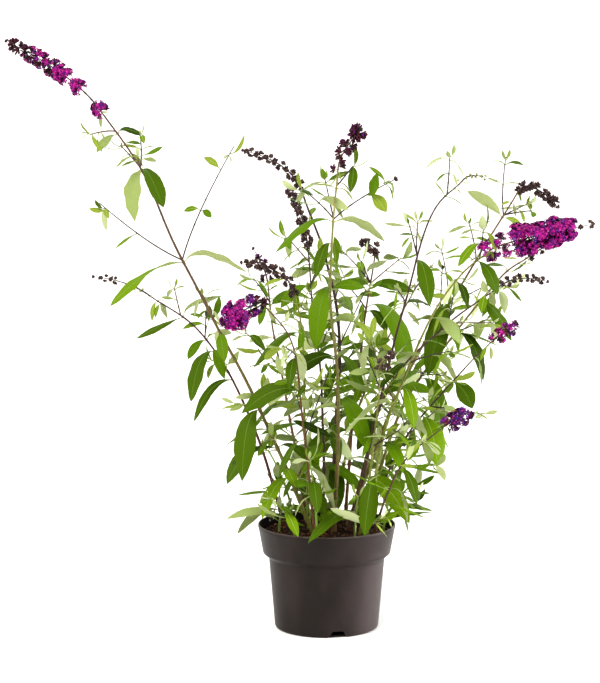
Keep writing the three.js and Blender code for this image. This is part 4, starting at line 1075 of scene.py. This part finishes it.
def addCyme(heaps, place, spread, reach, count, state, draw):
    (root, out), shape = place, cymeShape
    heart = root + out * spread
    if spread > shape["stalkFrom"]:
        addTube(heaps["twigs"], [root, root + out * spread * 0.5, heart], [twigMesh["cymeStalk"]] * 3, 4, 1)
    first, second = axesOf(out)
    for index in range(count):
        tilt = math.radians(draw(*shape["tilt"])) * math.sqrt((index + 1) / count)
        turn = shape["golden"] * index + draw(*shape["turn"])
        way = out * math.cos(tilt) + turned(first, second, turn) * math.sin(tilt)
        end = heart + way * (reach * draw(*shape["long"]))
        base = heart + way * min(shape["core"][0], reach * shape["core"][1])
        pick = draw(0, 1)
        if state in ("capsule", "bud"):
            girth = shape["bud"] if state == "bud" else shape["girth"] * draw(*shape["girthVary"])
            addPod(heaps["husks"], base, end, girth, choose(pick, shape["tints"][state]), draw(0, 90))
            continue
        tube, opens = tubeWilted, state
        if state == "wilted":
            lobe = choose(pick, shape["tints"]["wilted"])
        elif state == "fading" and pick < shape["fading"]:
            lobe = petalWilted
        else:
            tube, opens = tubeDark, "tubes" if state == "tubes" else "open"
            lobe = choose(draw(0, 1), shape["tints"]["violet" if state == "violet" else "open"])
        openness = draw(*shape["openness"][opens])
        addFloret(heaps["blossom"], base, end, openness, lobe, tube, draw(0, 90))


spikeShape = {
    "rise": (0.1, 0.5), "turn": (-24, 24), "far": (0.72, 1.1), "size": (0.85, 1.1),
    "narrow": (0.3, 2.5),  # a long panicle in flower narrows towards its tip
    "tip": (0.5, 4.5, 7, "capsule"),  # the tuft of husks at its end: distance, radius, number and state
}


def growSpike(plant, heaps):
    axis, stalk, radius, shape = plant["axis"], plant["stalk"], plant["spikeRadius"], spikeShape
    draw = drawFor(plant, "spike")
    long = axis["length"]
    girth = max(twigMesh["axisRadii"][0], plant["radiusAt"](1.0))
    rind = 1 if plant["bark"] in ("straw", "green") else 0
    knots = np.arange(8, long, twigMesh["axisKnots"]) / long
    addTwig(heaps["twigs"], axis, (girth, twigMesh["axisRadii"][1]), rind, knots)
    # a spent spike: husks all along, closer together and smaller in its upper half
    spent = [(2, long * 0.5, 9, 3.4, radius * 1.15, 20, "capsule"),
             (long * 0.5 + 6, long - 1, 7, 2.4, radius, 17, "capsule")]
    whorl = 0
    for start, end, step, spread, reach, count, state in plant.get("bloom", spent):
        place = start
        while place <= end + 0.01:
            if place < 0:
                at, along = pointsAt(stalk, 1 + place / stalk["length"]), headingAt(stalk, 0.99)
            else:
                at, along = placeOn(axis, min(place / long, 1), wideReach)
            narrow = 1.0
            if state == "open" and end - start > 3 * step:
                narrow = 1.0 - shape["narrow"][0] * ((place - start) / (end - start)) ** shape["narrow"][1]
            across = pairDirection(along, plant["turn"] + 90 * whorl + draw(*shape["turn"]))
            for hand in (1, -1):
                out = unit(across * hand + along * draw(*shape["rise"]))
                far = spread * narrow * draw(*shape["far"])
                addCyme(heaps, (at, out), far, reach * narrow * draw(*shape["size"]), count, state, draw)
            whorl += 1
            place += step
    if plant["spike"] in ("spent", "fading") or state == "capsule":
        addCyme(heaps, endOf(axis), *shape["tip"], draw)
    for limb, reach, count, state in plant["ends"]:
        addCyme(heaps, endOf(plant["grownShoots"][limb]["curve"]), shape["tip"][0], reach, count, state, draw)


# A round shell from its outline, drawn up from the first ring by extrusion.
def turnedShell(name, outline, sides):
    selectOnly()
    radius, height = outline[0]
    bpy.ops.mesh.primitive_circle_add(
        vertices=sides, radius=radius * mm, fill_type="NGON", location=(0, 0, height * mm))
    obj = bpy.context.object
    obj.name = name
    setEdit("EDIT")
    bpy.ops.mesh.select_all(action="SELECT")
    for newRadius, newHeight in outline[1:]:
        bpy.ops.mesh.extrude_region_move(TRANSFORM_OT_translate={"value": (0, 0, (newHeight - height) * mm)})
        scale = newRadius / radius
        bpy.ops.transform.resize(value=(scale, scale, 1), center_override=(0, 0, newHeight * mm))
        radius, height = newRadius, newHeight
    bpy.ops.mesh.select_all(action="SELECT")
    bpy.ops.mesh.normals_make_consistent(inside=False)
    setEdit("OBJECT")
    bpy.ops.object.transform_apply(location=True, rotation=True, scale=True)
    return obj


def arcSteps(centre, radius, fromDeg, toDeg, steps):
    angles = np.radians(np.linspace(fromDeg, toDeg, steps + 1))
    return [(centre[0] + radius * math.cos(a), centre[1] + radius * math.sin(a)) for a in angles]


potShape = {
    "height": 146, "wall": 1.8, "floor": 2.5, "sides": 128,
    "rim": (95, 2.2),  # radius outside, and width of its lip
    "collarFoot": (88.4, 107), "shoulder": (80.2, 99),  # radius and height
    "foot": (72, 5),  # radius, and height of its rounded edge
    "notches": 3, "firstNotch": 12,
    "notch": (9.5, 14, 28, 8),  # height, widths at head and foot, reach inwards
}


# Injection-moulded polypropylene: dark warm grey, satin, with a fine mould grain, a little dust, and a
# painted highlight along the lip.
def potMaterial():
    material = newMaterial("pot_polypropylene_moulded", "#1E1716", 0.44, IOR=1.49, Specular_IOR_Level=0.16)
    clouds = noiseOf(material, 38, (1, 1, 1.8), 5.0)
    tint = fade(material, clouds, 0.42, 0.75, linear("#231D1B"), linear("#2E2725"))
    # The lip is painted paler: a painted highlight standing in for the bright line of light along the rim's
    # edge.
    top = potShape["height"]
    tintWithPaintedLipHighlight = fade(material, heightOf(material), (top - 2.4) * mm, (top - 0.4) * mm, tint, linear("#4C4441"))
    toShader(material, tintWithPaintedLipHighlight, "Base Color")
    addRelief(material, noiseOf(material, 0.5, detail=1.0), 0.03)
    return material


def makePot():
    height, wall, floor = potShape["height"], potShape["wall"], potShape["floor"]
    (rim, lip), (foot, footRound) = potShape["rim"], potShape["foot"]
    (collar, collarHeight), (shoulder, shoulderHeight) = potShape["collarFoot"], potShape["shoulder"]
    pot = turnedShell("pot_shell", [
        (foot - footRound, 0), *arcSteps((foot - footRound, footRound), footRound, -70, 0, 5),
        (shoulder - 0.1, shoulderHeight - 1.2), (shoulder + 0.3, shoulderHeight + 0.3),
        (collar - 1.2, collarHeight - 1.6), (collar - 0.25, collarHeight - 0.7),
        (collar + 0.05, collarHeight + 0.5), (rim - 0.5, height - 5), (rim, height - 4.2),
        (rim, height - 1.1),
        *arcSteps((rim - 1.1, height - 1.1), 1.1, 20, 90, 4),
        *arcSteps((rim - lip + 0.6, height - 0.6), 0.6, 100, 180, 3),
        (rim - lip, height - 4), (collar - wall + 0.3, collarHeight + 2),
        (shoulder - wall, shoulderHeight + 1), (foot - wall, footRound + floor),
        (foot - footRound - wall, floor),
    ], potShape["sides"])
    notchHeight, headWidth, footWidth, reachIn = potShape["notch"]
    for index in range(potShape["notches"]):
        selectOnly()
        bpy.ops.mesh.primitive_cube_add(size=1, location=(0, 0, 0))
        cutter = bpy.context.object
        for vertex in cutter.data.vertices:
            wide = (footWidth + 2 if vertex.co.z < 0 else headWidth) * mm
            vertex.co.x *= wide
            vertex.co.y = (-(foot + 6) if vertex.co.y < 0 else -(foot - reachIn)) * mm
            vertex.co.z = (-1 if vertex.co.z < 0 else notchHeight) * mm
        angle = potShape["firstNotch"] + 360 / potShape["notches"] * index
        cutter.rotation_euler = (0, 0, math.radians(angle))
        bpy.ops.object.transform_apply(location=True, rotation=True, scale=True)
        cut = pot.modifiers.new("notch", "BOOLEAN")
        cut.operation, cut.object, cut.solver = "DIFFERENCE", cutter, "EXACT"
        selectOnly(pot)
        bpy.ops.object.modifier_apply(modifier="notch")
        bpy.data.objects.remove(cutter)
    finishPiece(pot, ["pot"], 32, potMaterial())


compostShape = {
    "level": 134, "foot": 10.1, "sides": 96, "rings": 38, "edge": 6,
    "margin": 3,  # at the wall, left free of rings and chips
    "layers": (("clods", 9, 5.5), ("crumb", 2.6, 2.75)),
    "chips": 760, "crumbs": 1500, "seed": 4711,
    "chip": ((2.4, 6.5), (1.2, 3.0), (0.5, 1.2)),
    "grain": ((0.5, 1.3), (0.5, 1.2), (0.4, 1.0)),
    "lean": (-0.5, 0.5), "uneven": (0.6, 1.15), "rise": (-1.2, 1.9),
    "chipTints": ((0.36, 0), (0.6, 1), (0.8, 2), (0.86, 3), (1, 4)),
    "crumbTints": ((0.5, 1), (1, 4)),
}


# Potting compost: moist dark peat crumbs with composted bark.
def compostMaterial():
    material = newMaterial("compost_peat", "#241712", 0.95)
    clumps = noiseOf(material, 5, detail=6.0)
    toShader(material, fade(material, clumps, 0.35, 0.68, linear("#20130D"), linear("#53321F")), "Base Color")
    addRelief(material, clumps, 1.2)
    return material


def makeCompost():
    shape, wall = compostShape, potShape["wall"] + 0.5
    collar, collarHeight = potShape["collarFoot"]
    climb = (shape["level"] - collarHeight) / (potShape["height"] - collarHeight)
    topRadius = collar + (potShape["rim"][0] - collar) * climb - wall - 0.6
    bed = turnedShell("compost_bed", [
        (potShape["foot"][0] - 3 - wall, shape["foot"]),
        (potShape["shoulder"][0] - wall - 0.4, potShape["shoulder"][1] + 1),
        (collar - wall - 0.6, collarHeight + 2), (topRadius, shape["level"] - 1.5)], shape["sides"])
    setEdit("EDIT")
    bpy.ops.mesh.select_all(action="DESELECT")
    setEdit("OBJECT")
    max(bed.data.polygons, key=lambda face: face.center.z).select = True
    setEdit("EDIT")
    bpy.ops.mesh.select_mode(type="FACE")
    for _ in range(shape["rings"]):
        bpy.ops.mesh.inset(thickness=(topRadius - shape["margin"]) / shape["rings"] * mm)
    setEdit("OBJECT")
    group = bed.vertex_groups.new(name="surface")
    for vertex in bed.data.vertices:
        fromEdge = topRadius * mm - math.hypot(vertex.co.x, vertex.co.y)
        if vertex.co.z > (shape["level"] - 2) * mm:
            group.add([vertex.index], min(1.0, 0.25 + fromEdge / (shape["edge"] * mm)), "REPLACE")
    roughen(bed, shape["layers"], 3, 0.32, texture_coords="LOCAL", direction="Z", vertex_group="surface")
    finishPiece(bed, ["compost"], 40, compostMaterial())
    return topRadius


def makeChips(topRadius):
    # Composted bark: brittle flakes, red-brown to nearly black, and a few pale fibres.
    palette = newMaterials(
        newMaterial, "bark_chip", ["#62301A", "#341B12", "#82492A", "#B0804E", "#201410"], 0.85)
    heap, shape = newHeap(), compostShape
    draw = seeded(shape["seed"])
    cube = np.array([(x, y, z) for z in (-1, 1) for y in (-1, 1) for x in (-1, 1)], float)
    sides = [(0, 2, 3, 1), (4, 5, 7, 6), (0, 1, 5, 4), (2, 6, 7, 3), (0, 4, 6, 2), (1, 3, 7, 5)]
    for index in range(shape["chips"] + shape["crumbs"]):
        chip = index < shape["chips"]
        size = np.array([draw(*ends) for ends in shape["chip"]]) / 2
        if not chip:
            size = np.array([draw(*ends) for ends in shape["grain"]])
        out, bearing = (topRadius - shape["margin"]) * math.sqrt(draw(0, 1)), draw(0, 2 * math.pi)
        lean, tip, yaw = draw(*shape["lean"]), draw(*shape["lean"]), draw(0, 2 * math.pi)
        uneven = np.array([[draw(*shape["uneven"]) for _ in range(3)] for _ in range(8)])
        c, s = math.cos(yaw), math.sin(yaw)
        turn = np.array([[c, -s, 0], [s, c, 0], [0, 0, 1]])
        tilt = np.array([[1, 0, lean], [0, 1, tip], [-lean, -tip, 1]])
        level = shape["level"] + draw(*shape["rise"])
        place = np.array([out * math.cos(bearing), out * math.sin(bearing), level])
        tint = choose(draw(0, 1), shape["chipTints" if chip else "crumbTints"])
        put(heap, cube * uneven * size @ tilt.T @ turn.T + place, sides, tint)
    pieceFrom(heap, "compost_chips", palette, smoothDegrees=30)


studio = {
    "floor": "#FAFAFA",
    "lens": 155.4,
    "place": (-0.037, -4.0, 1.004),
    "pitch": 8.583,
    "sky": 0.8,
    "sun": {"place": (-1.5, -1.7, 2.7), "strength": 2.45, "angle": 42, "colour": "#FFF8EE"},
    # name, place, aimed at, size, watts, degrees of its beam, colour
    "lights": [
        ("fill", (2.3, -0.3, 0.5), (0, 0, 0.2), 1.3, 40, 180, "#F6F6FF"),
        ("back", (0.9, 2.6, 2.4), (0, 0, 0.5), 1.6, 14, 180, "#FFFFFF"),
        ("edge", (2.3, 0.4, 0.16), (0, 0, 0.05), 0.3, 0.7, 8, "#FFF6F6"),
    ],
}


def addToScene(name, data):
    obj = bpy.data.objects.new(name, data)
    bpy.context.scene.collection.objects.link(obj)
    return obj


def makeStage():
    scene = bpy.context.scene
    selectOnly()
    bpy.ops.mesh.primitive_plane_add(size=160, location=(0, 0, 0))
    floor = bpy.context.object
    floor.name = "studio_floor"
    # Seamless studio paper: matt, nearly white.
    floor.data.materials.append(newMaterial("floor_paper_matt", studio["floor"], 0.9))
    floor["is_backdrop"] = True
    scene.world = bpy.data.worlds.new("studio_air")
    scene.world.use_nodes = True
    sky = scene.world.node_tree.nodes["Background"].inputs
    sky["Color"].default_value, sky["Strength"].default_value = (1, 1, 1, 1), studio["sky"]
    for name, place, aim, size, watts, beam, colour in studio["lights"]:
        lamp = bpy.data.lights.new(name, "AREA")
        lamp.shape, lamp.size, lamp.energy, lamp.color = "DISK", size, watts, linear(colour)[:3]
        lamp.spread = math.radians(beam)
        obj = addToScene(name, lamp)
        obj.location = place
        obj.rotation_euler = (Vector(aim) - Vector(place)).to_track_quat("-Z", "Y").to_euler()
    sun = addToScene("key", bpy.data.lights.new("key", "SUN"))
    sun.data.energy, sun.data.angle = studio["sun"]["strength"], math.radians(studio["sun"]["angle"])
    sun.data.color = linear(studio["sun"]["colour"])[:3]
    sun.rotation_euler = (-Vector(studio["sun"]["place"])).to_track_quat("-Z", "Y").to_euler()
    camera = scene.camera = addToScene("camera", bpy.data.cameras.new("camera"))
    camera.data.lens, camera.data.sensor_width = studio["lens"], 36
    camera.data.clip_start, camera.data.clip_end = 0.05, 400
    camera.location = studio["place"]
    camera.rotation_euler = (math.radians(90 - studio["pitch"]), 0, 0)
    scene.view_settings.view_transform = "Standard"
    scene.view_settings.look = "Medium High Contrast"


def makePlant(plant):
    heaps = {kind: newHeap() for kind in ("leaves", "twigs", "blossom", "husks")}
    draw = drawFor(plant, "looks")
    for leaf in plant["grownLeaves"]:
        addLeaf(heaps["leaves"], leaf, *leafTints(leaf, draw), draw)
    for shoot in plant["grownShoots"]:
        if shoot["kind"] == "twiglet":
            tint = choose(draw(0, 1), twigMesh["twigletTints"])
            addTwig(heaps["twigs"], shoot["curve"], twigMesh["twigletRadii"], tint)
        else:
            tint = choose(draw(0, 1), twigMesh["shootTints"])
            addTwig(heaps["twigs"], shoot["curve"], twigMesh["radii"], tint, twigMesh["knots"])
    if "spike" in plant:
        makeStem(plant)
        growSpike(plant, heaps)
    else:
        line, run, sunk = plant["stalk"]["points"], plant["stalk"]["run"], twigMesh["sunk"]
        length = plant["stalk"]["length"] + sunk
        run = np.concatenate([[0], sunk + run * plant["stalk"]["length"]]) / length
        root = {"points": np.vstack([line[0] - up * sunk, line]), "run": run, "length": length}
        addTwig(heaps["twigs"], root, twigMesh["lowRadii"], 3, plant["joints"])
    for kind, palette, degrees in (
        ("leaves", leafPalette, 50), ("twigs", twigPalette, 50), ("blossom", bloomPalette, 40),
        ("husks", huskPalette, 60),
    ):
        nodes = ["spray_" + plant["name"]] if kind == "leaves" else ()
        pieceFrom(heaps[kind], kind + "_" + plant["name"], palette, nodes, degrees)


makeStage()
print("stage ready")
plants = growPlants()
makePot()
makeChips(makeCompost())
print("pot and compost ready")
for plant in plants:
    makePlant(plant)
print("plant ready")
meshes = [obj.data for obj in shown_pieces() if obj.type == "MESH"]
print("triangles:", sum(len(face.vertices) - 2 for mesh in meshes for face in mesh.polygons))
